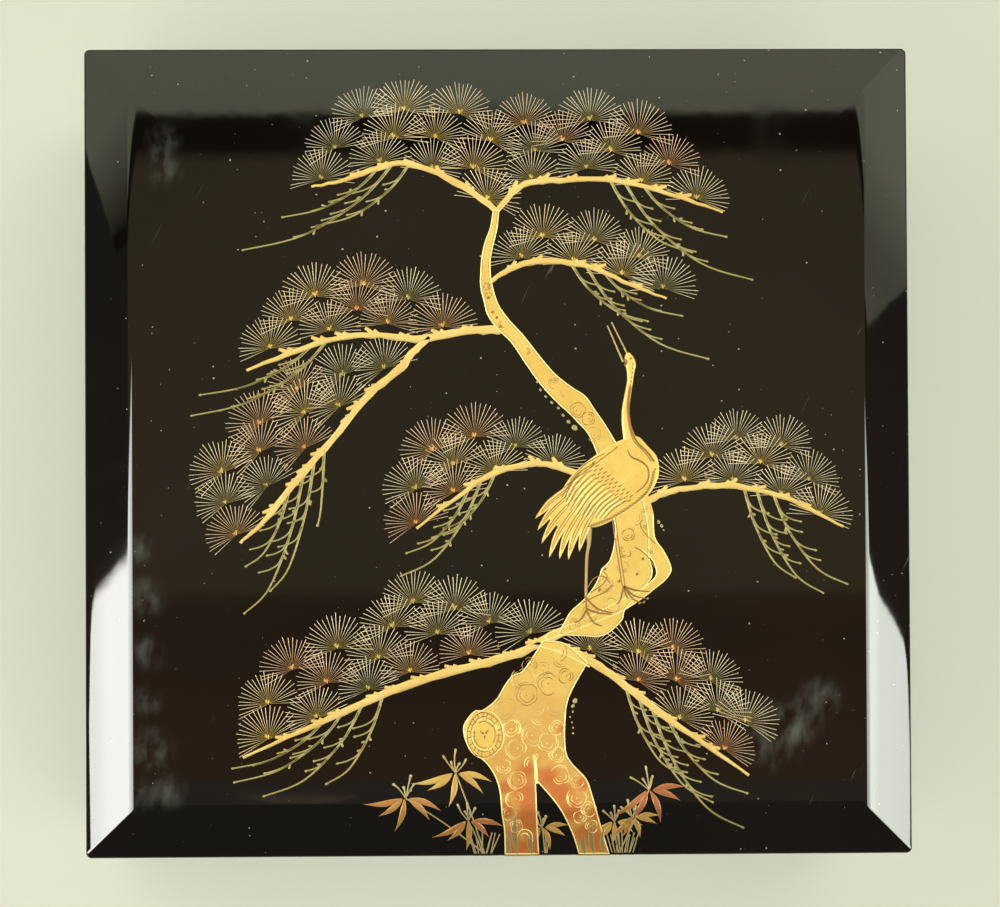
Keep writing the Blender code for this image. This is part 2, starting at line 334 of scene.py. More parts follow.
class FoodBoxPictureSizes(bpy.types.PropertyGroup):
    """How high each layer of gold stands, and the needles."""

    needle_lift: length("Needle height", "How far the needles stand proud", 0.07)
    twig_lift: length("Twig height", "How far the hanging twigs stand proud", 0.14)
    trunk_lift: length("Trunk height", "How far the trunk stands proud", 0.3)
    bough_lift: length("Bough height", "How far the boughs stand proud", 0.26)
    crane_lift: length("Crane height", "How far the crane's body stands proud", 0.42)
    line_lift: length("Line height", "How far a drawn line stands over what it is drawn on", 0.06)
    line_width: length("Line width", "Breadth of a drawn line", 0.29)
    needle_length: length("Needle length", "Length of a pine needle", 10.3)
    needle_width: length("Needle width", "Breadth of a pine needle at its tip", 0.185)
    needle_count: IntProperty(
        name="Needles", description="How many needles a fan has", default=25, min=3, max=60,
    )
    needle_spread: FloatProperty(
        name="Needle spread", description="The angle that a fan of needles fills", default=math.radians(204),
        min=0, subtype="ANGLE", unit="ROTATION",
    )


class FoodBoxColours(bpy.types.PropertyGroup):
    """The lacquer's and the golds' colours."""

    lacquer: colour("Lacquer", "Black lacquer, a little brown", 0.0045, 0.0032, 0.0024)
    gold: colour("Gold", "The trunk and the grass", 0.69, 0.485, 0.12)
    crane: colour("Crane", "The crane's pale gold", 0.72, 0.515, 0.128)
    bough: colour("Bough", "The boughs' gold", 0.66, 0.475, 0.15)
    flesh: colour("Warm gold", "The middle of the lower trunk", 0.6, 0.35, 0.085)
    ochre: colour("Ochre", "Lines drawn on the gold", 0.24, 0.11, 0.014)
    orange: colour("Orange", "The foot of the trunk", 0.52, 0.155, 0.027)
    olive: colour("Olive", "Twigs and lichen", 0.34, 0.3, 0.12)
    # Bright gold colours the pale drawn lines, and also the painted highlight along the edges of the raised
    # gold.
    bright: colour("Bright gold", "Bright lines and edges", 0.92, 0.72, 0.27)
    pale: colour("Pale olive", "The crane's bill and far leg, and the grass stems", 0.42, 0.35, 0.17)
    rust: colour("Rust", "The reddest leaves", 0.36, 0.11, 0.04)
    grey_gold: colour("Grey gold", "The tongues at the trunk's foot", 0.36, 0.27, 0.13)


class FoodBoxStudioSizes(bpy.types.PropertyGroup):
    """The light and the floor."""

    window: FloatProperty(
        name="Window strength", description="Brightness of the two side windows", default=21, min=0,
    )
    card: FloatProperty(
        name="Card strength", description="Brightness of the overhead cards", default=1.8, min=0,
    )
    soft: FloatProperty(
        name="Soft light strength", description="Brightness of the wide light overhead", default=3.0, min=0,
    )
    floor: colour("Floor", "The pale paper that the box stands on", 0.7, 0.72, 0.6)


def gold_size(name):
    """One of the picture's sizes, in millimetres."""
    return getattr(bpy.context.scene.food_box_picture, name) / MM


# Paths and outlines.

SAME_PLACE = 1e-6


def smooth(points, closed=False, pieces=6):
    """A smooth curve through the points. Two like points in a row make a corner."""
    knots = [Vector(point).to_3d() for point in points]
    count = len(knots)
    curve = []
    for index in range(count if closed else count - 1):
        start = knots[index]
        end = knots[(index + 1) % count]
        before = knots[index - 1] if closed or index > 0 else start
        after = knots[(index + 2) % count] if closed or index + 2 < count else end
        if (end - start).length < SAME_PLACE:
            continue
        handle_a = start + (end - before) / 6
        handle_b = end - (after - start) / 6
        curve.extend(interpolate_bezier(start, handle_a, handle_b, end, pieces + 1)[:-1])
    if not closed:
        curve.append(knots[-1])
    return curve


def heading(path, index):
    """The direction of a path at one of its points, flat on the picture."""
    ahead = path[min(index + 1, len(path) - 1)]
    behind = path[max(index - 1, 0)]
    return (ahead - behind).to_2d().normalized()


def left_of(direction):
    """The direction a quarter turn to the left."""
    return Vector((-direction.y, direction.x))


def toward(angle):
    """The direction at an angle, counted counter-clockwise from the right."""
    return Vector((math.cos(angle), math.sin(angle)))


def along(path, share):
    """The point of a path, and the path's direction, at a share of its length."""
    lengths = [(b - a).to_2d().length for a, b in zip(path, path[1:])]
    rest = share * sum(lengths)
    for index, step in enumerate(lengths):
        if rest <= step:
            return path[index].lerp(path[index + 1], rest / step), heading(path, index)
        rest -= step
    return path[-1], heading(path, len(path) - 1)


def turns_left(outline):
    """Whether a closed outline runs counter-clockwise."""
    return sum(a.x * b.y - b.x * a.y for a, b in zip(outline, outline[1:] + outline[:1])) > 0


def moved_in(outline, distance):
    """A counter-clockwise outline moved inwards."""
    places = []
    for index, point in enumerate(outline):
        ahead = outline[(index + 1) % len(outline)]
        side = left_of((ahead - outline[index - 1]).to_2d().normalized())
        places.append(point.to_2d() + side * distance)
    return places


def ribbon(path):
    """The outline of a path of (x, y, half width)."""
    sides = [[], []]
    for index, point in enumerate(path):
        across = left_of(heading(path, index)) * point.z
        sides[0].append((point.to_2d() + across).to_3d())
        sides[1].append((point.to_2d() - across).to_3d())
    return sides[0] + sides[1][::-1]


def inside(outline, place):
    """Whether a place lies inside a closed outline."""
    crossings = 0
    for a, b in zip(outline, outline[1:] + outline[:1]):
        if (a.y > place.y) != (b.y > place.y):
            crossings += place.x < a.x + (place.y - a.y) * (b.x - a.x) / (b.y - a.y)
    return crossings % 2 == 1


# Meshes. Besides its place a vertex keeps how far along a stroke it is, how near an edge, and its tint.

# A plate's edge from its foot up, in shares of the edge's breadth and of the height, and how much edge it is.
PLATE_EDGE = ((0, -0.1, 1), (0, 0.45, 1), (0.4, 0.85, 1), (1, 1, 0))
SHARP_EDGE = math.radians(55)


def new_mesh():
    """An empty mesh with the values that the materials read."""
    mesh = bmesh.new()
    mesh.verts.layers.int.new("station")
    for name in ("reach", "rim", "tint"):
        mesh.verts.layers.float.new(name)
    return mesh


def extruded(mesh, ring):
    """Extrudes a ring of edges and returns the new ring's vertices and edges."""
    grown = bmesh.ops.extrude_edge_only(mesh, edges=ring)["geom"]
    verts = [item for item in grown if isinstance(item, bmesh.types.BMVert)]
    edges = [item for item in grown if isinstance(item, bmesh.types.BMEdge)]
    return verts, [edge for edge in edges if edge.is_boundary]


def add_body(mesh, rings, tint=0.0):
    """Adds a closed body through rings of as many places each, a place being (x, y, z, reach, rim)."""
    layers = mesh.verts.layers
    station_of = layers.int["station"]
    reach_of, rim_of, tint_of = (layers.float[name] for name in ("reach", "rim", "tint"))
    verts = [mesh.verts.new(place[:3]) for place in rings[0]]
    for station, vert in enumerate(verts):
        vert[station_of] = station
    ring = [mesh.edges.new((verts[index - 1], verts[index])) for index in range(len(verts))]
    first_ring = list(ring)
    for level, places in enumerate(rings):
        if level > 0:
            verts, ring = extruded(mesh, ring)
        for vert in verts:
            place = places[vert[station_of]]
            vert.co = place[:3]
            vert[reach_of] = place[3]
            vert[rim_of] = place[4]
            vert[tint_of] = tint
    bmesh.ops.holes_fill(mesh, edges=first_ring + ring, sides=0)


def add_stroke(mesh, path, lift, section=FLAT_LINE, base=0.0, tint=0.0):
    """Adds a raised stroke along a path of (x, y, half width), standing on the height base."""
    rings = []
    for index, point in enumerate(path):
        across = left_of(heading(path, index)) * point.z
        reach = index / (len(path) - 1)
        rings.append([
            (point.x + across.x * side, point.y + across.y * side, base + lift * up, reach, abs(side))
            for side, up in section
        ])
    add_body(mesh, rings, tint)


def add_plate(mesh, outline, lift, rim, base=0.0, tint=0.0):
    """Adds a raised plate inside a closed outline, its edge eased over the width rim."""
    if not turns_left(outline):
        outline = outline[::-1]
    rings = [
        [(place.x, place.y, base + lift * up, 0.0, edge) for place in moved_in(outline, inward * rim)]
        for inward, up, edge in PLATE_EDGE
    ]
    add_body(mesh, rings, tint)


def add_copy(mesh, small, matrix, tint):
    """Adds a turned and moved copy of a small mesh, all of one tint."""
    first = len(mesh.verts)
    copy = small.copy()
    copy.transform(matrix)
    mesh.from_mesh(copy)
    bpy.data.meshes.remove(copy)
    tint_of = mesh.verts.layers.float["tint"]
    mesh.verts.ensure_lookup_table()
    for vert in mesh.verts[first:]:
        vert[tint_of] = tint


def joined_faces(first):
    """A face and all the faces that hang together with it."""
    body = [first]
    known = {first}
    for face in body:
        for edge in face.edges:
            for other in edge.link_faces:
                if other not in known:
                    known.add(other)
                    body.append(other)
    return body


def turn_outward(mesh):
    """Turns the faces of each closed body outward, thin and folded bodies too."""
    bmesh.ops.recalc_face_normals(mesh, faces=mesh.faces)
    mesh.normal_update()
    known = set()
    inward = []
    for first in mesh.faces:
        if first in known:
            continue
        body = joined_faces(first)
        known.update(body)
        start = first.verts[0].co
        volume = sum(face.calc_area() * face.normal.dot(face.verts[0].co - start) for face in body)
        if volume < 0:
            inward += body
    bmesh.ops.reverse_faces(mesh, faces=inward)


def add_piece(name, mesh, material):
    """Makes a named piece of a mesh and lets it ride on the box."""
    turn_outward(mesh)
    data = bpy.data.meshes.new(name)
    mesh.to_mesh(data)
    mesh.free()
    data.materials.append(material)
    data.shade_smooth()
    data.set_sharp_from_angle(angle=SHARP_EDGE)
    piece = bpy.data.objects.new(name, data)
    bpy.context.scene.collection.objects.link(piece)
    shading = piece.modifiers.new("Even shading", "WEIGHTED_NORMAL")
    shading.keep_sharp = True
    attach(piece, "root")
    return piece


# The lid.

ROUND_STEPS = 8
CORNER_STEPS = 8
SLOPE_STEPS = 7
CUT_REACH = 1e-4


def rounded(corners):
    """Turns an open profile of (inset, height, radius) corners into points, each corner a tangent arc."""
    places = [Vector(corner[:2]) for corner in corners]
    profile = [places[0]]
    for index in range(1, len(corners) - 1):
        corner = places[index]
        toward_a = (places[index - 1] - corner).normalized()
        toward_b = (places[index + 1] - corner).normalized()
        half_angle = toward_a.angle(toward_b) / 2
        reach = corners[index][2] / math.tan(half_angle)
        if reach == 0:
            profile.append(corner)
            continue
        centre = corner + (toward_a + toward_b).normalized() * reach / math.cos(half_angle)
        start = (corner + toward_a * reach - centre).normalized()
        end = (corner + toward_b * reach - centre).normalized()
        for step in range(ROUND_STEPS + 1):
            profile.append(centre + start.slerp(end, step / ROUND_STEPS) * corners[index][2])
    profile.append(places[-1])
    return profile


def lid_profile():
    """The lid's section as (inset, height) in millimetres, from the ceiling inside round to the flat."""
    lid = bpy.context.scene.food_box_lid
    low = LID_LOW.z / MM
    top = LID_HIGH.z / MM
    seat = low + lid.lip_height / MM
    lip_outside = lid.lip_inset / MM
    lip_inside = lip_outside + lid.lip / MM
    ceiling = top - lid.plate / MM
    chamfer_width = lid.chamfer_width / MM
    edge_round = lid.edge_round / MM
    toe = Vector((0, seat + lid.rim_height / MM))
    brow = Vector((chamfer_width, top))
    outward = Vector((toe.y - brow.y, brow.x - toe.x)).normalized() * lid.crown / MM
    slope = []
    for step in range(1, SLOPE_STEPS - 1):
        share = step / SLOPE_STEPS
        slope.append((*(toe.lerp(brow, share) + outward * 4 * share * (1 - share)), 0))
    return rounded([
        (2 * lip_inside, ceiling, 0),
        (lip_inside, ceiling, 2 * edge_round),
        (lip_inside, low, edge_round),
        (lip_outside, low, edge_round),
        (lip_outside, seat, 0),
        (0, seat, edge_round),
        (*toe, lid.toe_round / MM),
        *slope,
        (*brow, lid.brow_round / MM),
        (2 * chamfer_width, top, 0),
    ])


def lid_ring(inset, height):
    """The lid's outline in metres, moved in by inset, counter-clockwise from above."""
    lid = bpy.context.scene.food_box_lid
    share = min(inset * MM / lid.chamfer_width, 1)
    radius = (lid.corner_round + (lid.mitre_round - lid.corner_round) * share) / MM
    ring = []
    for quarter, (side_x, side_y) in enumerate(((1, 1), (-1, 1), (-1, -1), (1, -1))):
        for step in range(CORNER_STEPS + 1):
            angle = (quarter + step / CORNER_STEPS) * math.pi / 2
            x = side_x * (HALF_WIDTH - inset - radius) + radius * math.cos(angle)
            y = side_y * (HALF_DEPTH - inset - radius) + radius * math.sin(angle)
            ring.append((x * MM, y * MM, height * MM, 0.0, 0.0))
    return ring


def make_lid():
    """Makes the lid's lacquered shell."""
    mesh = new_mesh()
    add_body(mesh, [lid_ring(inset, height) for inset, height in lid_profile()])
    shell = add_piece("lid_shell", mesh, lacquer_material("lid_lacquer", HAZE_PLACES, 1.0))
    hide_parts("lid")


def height_on_lid(profile, place):
    """The height of the lid's top over a place, in millimetres."""
    inset = min(HALF_WIDTH - abs(place.x), HALF_DEPTH - abs(place.y))
    for before, after in zip(profile, profile[1:]):
        if inset <= after.x:
            share = max(inset - before.x, 0) / (after.x - before.x)
            return before.y + (after.y - before.y) * share
    return profile[-1].y


def lay_on_lid(mesh):
    """Bends a flat picture over the lid's top and slopes, and turns its millimetres into metres."""
    profile = lid_profile()
    side = max(index for index, point in enumerate(profile) if point.x < CUT_REACH)
    profile = profile[side:]
    bmesh.ops.triangulate(mesh, faces=mesh.faces)
    front = min(vert.co.y for vert in mesh.verts)
    back = max(vert.co.y for vert in mesh.verts)
    for point in profile:
        for y in (point.x - HALF_DEPTH, HALF_DEPTH - point.x):
            if front < y < back:
                bmesh.ops.bisect_plane(
                    mesh, geom=mesh.verts[:] + mesh.edges[:] + mesh.faces[:], plane_co=(0, y, 0),
                    plane_no=(0, 1, 0), dist=CUT_REACH,
                )
    for vert in mesh.verts:
        vert.co.z += height_on_lid(profile, vert.co)
        vert.co *= MM


def add_to_lid(name, mesh, material):
    """Lays a flat picture on the lid and makes it a piece."""
    lay_on_lid(mesh)
    add_piece(name, mesh, material)


# The trunk.

# How finely a bent line is cut, in millimetres and in pieces at least.
ARC_STEP = 0.4
ARC_PIECES = 5

# How the marks of the bark are spread, as shares of their pitch: how far a mark strays, how large it is, and
# how far apart the rows are. A mark keeps clear of the outline, the curls, the knot and the crane's foot.
MARK_STRAY = 0.35
MARK_SIZES = (0.3, 0.52)
ROW_PITCH = 0.85
OUTLINE_CLEARANCE = 0.5
CURL_CLEARANCE = 0.7
KNOT_CLEARANCE = 7.5
FOOT_CLEARANCE = 6

# A curl over this radius has a second line round it.
DOUBLE_CURL = 2.3
TONGUE_LEAN = math.radians(93)

# The bark's lines turn from ochre to pale gold down the trunk, over a few millimetres.
OCHRE_SHARE = 0.26
PALE_GAIN = 0.36
PALE_UNDER = -71
PALE_RUN = 8

# The knot: its rings as (radius, tint, how much of it is drawn), and its heart's lines.
KNOT_RINGS = ((5.5, 1.0, 1), (5.05, 0.0, 0.9), (3.95, 0.1, 0.85), (3.6, 1.0, 0.9), (3.0, 0.15, 0.6))
KNOT_RING_PARTS = 9
KNOT_OVAL = 1.26
KNOT_CRACKS = 19
KNOT_HEART = ((-1.3, 1.0), (1.2, 1.4), (0.1, -1.4))


def trunk_outlines():
    """The closed outlines of the stem, the upper trunk, its side limb and the lower trunk."""
    return [ribbon(smooth(STEM, pieces=5))] + [
        smooth(outline, True, 5) for outline in (UPPER_TRUNK, SIDE_LIMB, LOWER_TRUNK)
    ]


def add_arc(mesh, centre, radius, start, sweep, base, tint, squash=1.0):
    """Adds a curved line, part of a circle or of an oval as high as squash times its breadth."""
    half = gold_size("line_width") / 2
    steps = max(ARC_PIECES, int(abs(sweep) * radius / ARC_STEP))
    path = []
    for step in range(steps + 1):
        angle = start + sweep * step / steps
        taper = 0.5 + 0.5 * math.sin(math.pi * step / steps)
        path.append(Vector((
            centre.x + radius * math.cos(angle),
            centre.y + radius * squash * math.sin(angle),
            half * taper,
        )))
    add_stroke(mesh, path, gold_size("line_lift"), FLAT_LINE, base, tint)


def bark_places(outline, pitch, rng):
    """Places for the bark's marks inside an outline, on an uneven grid, each with its radius."""
    xs = [point.x for point in outline]
    ys = [point.y for point in outline]
    y = min(ys)
    while y < max(ys):
        x = min(xs)
        while x < max(xs):
            across, up = (rng.uniform(-MARK_STRAY, MARK_STRAY) * pitch for _ in range(2))
            centre = Vector((x + across, y + up))
            radius = rng.uniform(*MARK_SIZES) * pitch
            around = [centre + toward(turn) * (radius + OUTLINE_CLEARANCE) for turn in range(7)]
            if all(inside(outline, place) for place in around):
                yield centre, radius
            x += pitch
        y += pitch * ROW_PITCH


def add_curl(mesh, centre, radius, base, tint, rng):
    """Adds one curl of bark: a scalloped ring, a part of a second one inside it, and a short dash."""
    start = rng.uniform(0, math.tau)
    lobes = rng.choice((3, 4, 4, 5))
    for size, sweep in ((1, rng.uniform(5, 6.2)), (0.66, rng.uniform(2.2, 4))):
        for lobe in range(lobes):
            turn = start + math.tau * (lobe + 0.5) / lobes
            if turn - start < sweep:
                middle = centre + toward(turn) * radius * size * 0.36
                half_sweep = 2.1 / math.sqrt(lobes) * rng.uniform(0.95, 1.15)
                wide = radius * size * rng.uniform(0.6, 0.68)
                add_arc(mesh, middle, wide, turn - half_sweep, 2 * half_sweep, base, tint)
    add_arc(mesh, centre, 0.3, start, 2.2, base, tint)


def bright_share(y):
    """How bright a bark line is: ochre on the gold above, pale gold on the warm wood below."""
    return OCHRE_SHARE + min(max((PALE_UNDER - y) / PALE_RUN, 0), 1) * PALE_GAIN


def add_mark(mesh, centre, radius, base, tint, rng):
    """Adds a small mark of the bark: one bent line, or two side by side."""
    start = rng.uniform(0, math.tau)
    sweep = rng.uniform(1.4, 3.4)
    squash = rng.uniform(0.75, 1.3)
    add_arc(mesh, centre, radius, start, sweep, base, tint, squash)
    if radius > 1:
        add_arc(mesh, centre, radius * 0.6, start + 0.3, sweep * 0.8, base, tint, squash)


def add_knot(mesh, base):
    """Adds the sawn knot at the trunk's left: rings, cracks round the rim and a split heart."""
    rng = random.Random(3)
    centre = Vector(KNOT)
    sweep = math.tau / KNOT_RING_PARTS
    for radius, tint, share in KNOT_RINGS:
        for part in range(KNOT_RING_PARTS):
            if rng.random() < share:
                wide = radius * rng.uniform(0.96, 1.04)
                add_arc(mesh, centre, wide, part * sweep, sweep * 1.1, base, tint, KNOT_OVAL)
    for index in range(KNOT_CRACKS):
        angle = math.tau * (index + rng.uniform(-0.3, 0.3)) / KNOT_CRACKS
        direction = Vector((math.cos(angle), math.sin(angle) * KNOT_OVAL))
        if rng.random() < 0.75:
            crack = [(*(centre + direction * rng.uniform(2.6, 4)), 0.08), (*(centre + direction * 5), 0.15)]
            add_line(mesh, crack, base, 0.0, 2)
    for x, y in KNOT_HEART:
        heart = [(*(centre + Vector((x * 0.2, y * 0.2))), 0.34), (*(centre + Vector((x, y))), 0.1)]
        add_line(mesh, heart, base, 0.1, 2)


def add_outline(mesh, outline, inward, base, tint, share):
    """Adds a line that follows an outline on the inside, its breadth a share of a drawn line's."""
    if not turns_left(outline):
        outline = outline[::-1]
    places = moved_in(outline, inward)
    path = [Vector((*place, gold_size("line_width") * share)) for place in places + places[:1]]
    add_stroke(mesh, path, gold_size("line_lift"), FLAT_LINE, base, tint)


def add_edge(mesh, points, aside, half, base, tint):
    """Adds a line beside an open path of (x, y), on its left where aside is positive."""
    path = smooth([(x, y, half) for x, y in points], pieces=5)
    beside = []
    for index, point in enumerate(path):
        beside.append(Vector((*(point.to_2d() + left_of(heading(path, index)) * aside), half)))
    add_stroke(mesh, beside, gold_size("line_lift"), FLAT_LINE, base, tint)


def add_line(mesh, points, base, tint=0.0, pieces=5):
    """Adds a drawn line through points of (x, y, half width)."""
    add_stroke(mesh, smooth(points, pieces=pieces), gold_size("line_lift"), FLAT_LINE, base, tint)


def add_spot(mesh, place, direction, half, lift, base=0.0):
    """Adds a small round spot."""
    points = [
        Vector((*(place + direction * half * further), half * breadth))
        for further, breadth in ((-1.1, 0.4), (-0.4, 0.95), (0.4, 0.95), (1.1, 0.4))
    ]
    add_stroke(mesh, points, lift, DOME, base)


def marks_bark(centre, radius, curls):
    """Whether a mark of the bark keeps clear of what else is drawn on the trunk."""
    if any((centre - other).length <= radius * CURL_CLEARANCE + reach for other, reach in curls):
        return False
    near_knot = (centre - Vector(KNOT)).length <= KNOT_CLEARANCE
    return not near_knot and (centre - Vector(NEAR_FOOT)).length > FOOT_CLEARANCE


def make_trunk():
    """Makes the trunk's plates and the lines of its bark."""
    outlines = trunk_outlines()
    lifts = [gold_size("trunk_lift") * share for share in TRUNK_SHARES]
    stem_top, upper_top, limb_top, lower_top = lifts
    plates = new_mesh()
    for outline, lift, edge in zip(outlines, lifts, TRUNK_EDGES):
        add_plate(plates, outline, lift, edge)
    add_to_lid("trunk", plates, trunk_material())

    rng = random.Random(11)
    lines = new_mesh()
    limb = outlines[2]
    curls = [(Vector((x, y)), radius) for x, y, radius in BARK_CURLS]
    for outline, lift, pitch in zip(outlines, lifts, BARK_PITCHES):
        for centre, radius in bark_places(outline, pitch, rng):
            if marks_bark(centre, radius, curls):
                add_mark(lines, centre, radius, lift, rng.uniform(-0.05, 0.1) + bright_share(centre.y), rng)
        if outline is not limb:
            add_outline(lines, outline, 0.5, lift, 0.3, 0.3)
            add_outline(lines, outline, 0.2, lift * 0.92, 1.0, 0.6)
    for centre, radius in curls:
        tint = rng.uniform(-0.1, 0.1) + bright_share(centre.y)
        if radius > DOUBLE_CURL:
            add_arc(lines, centre, radius * 1.14, rng.uniform(0, math.tau), 1.8, stem_top, tint + 0.1)
        add_curl(lines, centre, radius, stem_top, tint, rng)
    add_edge(lines, SIDE_LIMB[4:-3], -0.2, 0.17, limb_top * 0.94, 1.0)
    for line in LIMB_LINES:
        add_line(lines, [(x, y, 0.16) for x, y in line], limb_top)
    for place in BARK_SPOTS:
        add_spot(lines, Vector(place), Vector((0.6, 0.8)), 0.42, gold_size("line_lift"), upper_top)
    add_line(lines, COLLAR, gold_size("bough_lift"), 1.0)
    add_knot(lines, lower_top)
    add_line(lines, TRUNK_SPLIT, lower_top, 1.0, 4)
    add_to_lid("bark_lines", lines, line_material())

    tongues = new_mesh()
    for x, height, breadth in ROOT_TONGUES:
        add_leaf(tongues, Vector((x, TONGUE_FOOT)), TONGUE_LEAN, height, breadth, 0.05, lower_top)
    add_to_lid("root_tongues", tongues, leaf_material("tongue_gold", "grey_gold"))


# Boughs and twigs.

# How a bough's middle line strays and narrows at each point, and how far apart its hooks are.
STRAY_X = 0.15
STRAY_Y = 0.2
NARROWING = (0.72, 0.92)
SPUR_SPACING = 10

# A twig's blunt end, as (how far past its last point, share of the knob's breadth).
CLUB_END = ((0.3, 1.0), (0.6, 0.95), (0.85, 0.4))
CLUB_KNOB = 0.36

# A hanging twig: the shares of its run, across and down, where it turns, how far apart its forks are, and the
# length of a full one.
TWIG_TURNS = ((0.22, 0.42), (0.6, 0.83))
FORK_SPACING = 8
FULL_TWIG = 26


def bough_path(name):
    """The middle line of a bough, a little crooked and uneven in width."""
    rng = random.Random(name)
    path = smooth(BOUGHS[name].path, pieces=5)
    for point in path[1:-1]:
        point.x += rng.uniform(-STRAY_X, STRAY_X)
        point.y += rng.uniform(-STRAY_Y, STRAY_Y)
        point.z *= rng.uniform(*NARROWING)
    return path


def upper_side(direction):
    """The direction square to a bough that points up the picture."""
    side = left_of(direction)
    return side if side.y > 0 else -side


def add_spurs(mesh, path, lift, rng):
    """Adds the blunt hooks of wood that lean forward off a bough's upper side, two at a time."""
    reach = sum((b - a).to_2d().length for a, b in zip(path, path[1:]))
    count = int(reach / SPUR_SPACING)
    for index in range(count):
        point, direction = along(path, 0.14 + 0.8 * (index + rng.uniform(-0.3, 0.3)) / count)
        out = upper_side(direction)
        size = rng.uniform(2.2, 3.8)
        root = point.to_2d() - direction * 2
        for back, lean, share in ((0, rng.uniform(0.35, 0.75), 1), (1.3, rng.uniform(0.8, 1.4), 0.55)):
            elbow = point.to_2d() + out * point.z * 0.5 + direction * (0.6 - back)
            tip = elbow + (direction + out * lean).normalized() * size * 0.8 * share
            breadth = 0.5 + 0.25 * share
            near_tip = elbow.lerp(tip, 0.7)
            spur = [(*root, 0.5), (*elbow, breadth), (*near_tip, breadth * 0.75), (*tip, breadth * 0.6)]
            add_stroke(mesh, smooth(spur, pieces=4), lift * 0.95, DOME)


def make_boughs():
    """Makes each bough with its spurs, and the twigs that hang from it."""
    lift = gold_size("bough_lift")
    # The boughs' gold has a painted highlight along its edges.
    bough_gold = plain_gold_material("bough_gold", "bough", 0.35)
    twig_gold = plain_gold_material("twig_gold", "olive")
    for name, bough in BOUGHS.items():
        rng = random.Random("wood of " + name)
        path = bough_path(name)
        wood = new_mesh()
        add_stroke(wood, path, lift, DOME)
        add_spurs(wood, path, lift, rng)
        add_to_lid(f"bough_{name}", wood, bough_gold)

        twigs = new_mesh()
        for share, x, y in bough.twigs:
            start, direction = along(path, share)
            add_twig(twigs, start.to_2d(), direction, Vector((x, y)), rng)
        add_to_lid(f"twigs_{name}", twigs, twig_gold)


def add_club(mesh, points, rng, knob=CLUB_KNOB):
    """Adds a thin twig that ends in a small blunt knob."""
    path = smooth(points, pieces=6)
    last = path[-1]
    direction = heading(path, len(path) - 1)
    half = knob * rng.uniform(0.85, 1.15)
    for further, share in CLUB_END:
        path.append(Vector((*(last.to_2d() + direction * further), half * share)))
    add_stroke(mesh, path, gold_size("twig_lift"), DOME, tint=rng.random())


def add_twig(mesh, start, bough_direction, tip, rng):
    """Adds a hanging twig from a bough to its tip: steep at first, then bent out the way the bough runs."""
    run = tip - start
    knee, bend = (start + Vector((run.x * across, run.y * down)) for across, down in TWIG_TURNS)
    points = [(*start, 0.48), (*knee, 0.36), (*bend, 0.28), (*tip, 0.24)]
    path = smooth(points, pieces=10)
    outward = Vector((math.copysign(1, bough_direction.x), -0.28)).normalized()
    count = max(2, int(run.length / FORK_SPACING))
    for index in range(count):
        point, onward = along(path, 0.08 + 0.55 * (index + rng.uniform(-0.15, 0.15)) / count)
        size = rng.uniform(6, 10.5) * min(run.length / FULL_TWIG, 1)
        place = point.to_2d()
        near = place + (onward + outward * 0.2).normalized() * size * 0.42
        far = near + (onward * 0.5 + outward).normalized() * size * 0.32
        end = far + outward * size * 0.28
        add_club(mesh, [(*place, 0.3), (*near, 0.26), (*far, 0.24), (*end, 0.24)], rng)
    for _ in range(3):
        point, onward = along(path, rng.uniform(0.2, 0.6))
        place = point.to_2d()
        out = (onward + left_of(onward) * rng.choice((-0.9, 0.9))).normalized()
        add_club(mesh, [(*place, 0.26), (*(place + out * 0.8), 0.26)], rng)
    add_club(mesh, points, rng, 0.38)


# Needles.

FAN_KINDS = 6
FAN_SIZES = (0.86, 1.0)
HUB_LEANS = (-0.75, -0.2, 0.4)


def needle_fan(rng):
    """One fan of needles about a small hub, its root at the origin, spread about +Y."""
    picture = bpy.context.scene.food_box_picture
    mesh = new_mesh()
    count = picture.needle_count
    half = gold_size("needle_width") / 2
    for index in range(count):
        share = index / (count - 1) - 0.5
        angle = share * picture.needle_spread + math.radians(rng.uniform(-1.5, 1.5))
        size = gold_size("needle_length") * rng.uniform(0.9, 1.03)
        direction = Vector((math.sin(angle), math.cos(angle)))
        path = [
            Vector((*(direction * 0.6), half * 0.5)),
            Vector((*(direction * size * 0.5), half * 0.85)),
            Vector((*(direction * size), half)),
        ]
        add_stroke(mesh, path, gold_size("needle_lift") * rng.uniform(0.8, 1.2), RIDGE)
    for lean in HUB_LEANS:
        turn = lean + rng.uniform(-0.2, 0.2)
        hub = Vector((math.sin(turn), math.cos(turn))) * rng.uniform(1.0, 1.7)
        path = [Vector((-0.1 * lean, -0.2, 0.12)), Vector((*(hub * 0.6), 0.26)), Vector((*hub, 0.16))]
        add_stroke(mesh, path, gold_size("needle_lift") * 1.4, RIDGE)
    reach_of = mesh.verts.layers.float["reach"]
    for vert in mesh.verts:
        vert[reach_of] = vert.co.to_2d().length / gold_size("needle_length")
    fan = bpy.data.meshes.new("needle_fan")
    mesh.to_mesh(fan)
    mesh.free()
    return fan


def fan_turn(path, place):
    """How far a fan at a place is turned: away from its bough, and upright for the most part."""
    nearest = min(range(len(path)), key=lambda index: (path[index].to_2d() - place).length)
    up = (upper_side(heading(path, nearest)) + Vector((0, 0.5))).normalized()
    return math.atan2(up.y, up.x) - math.pi / 2


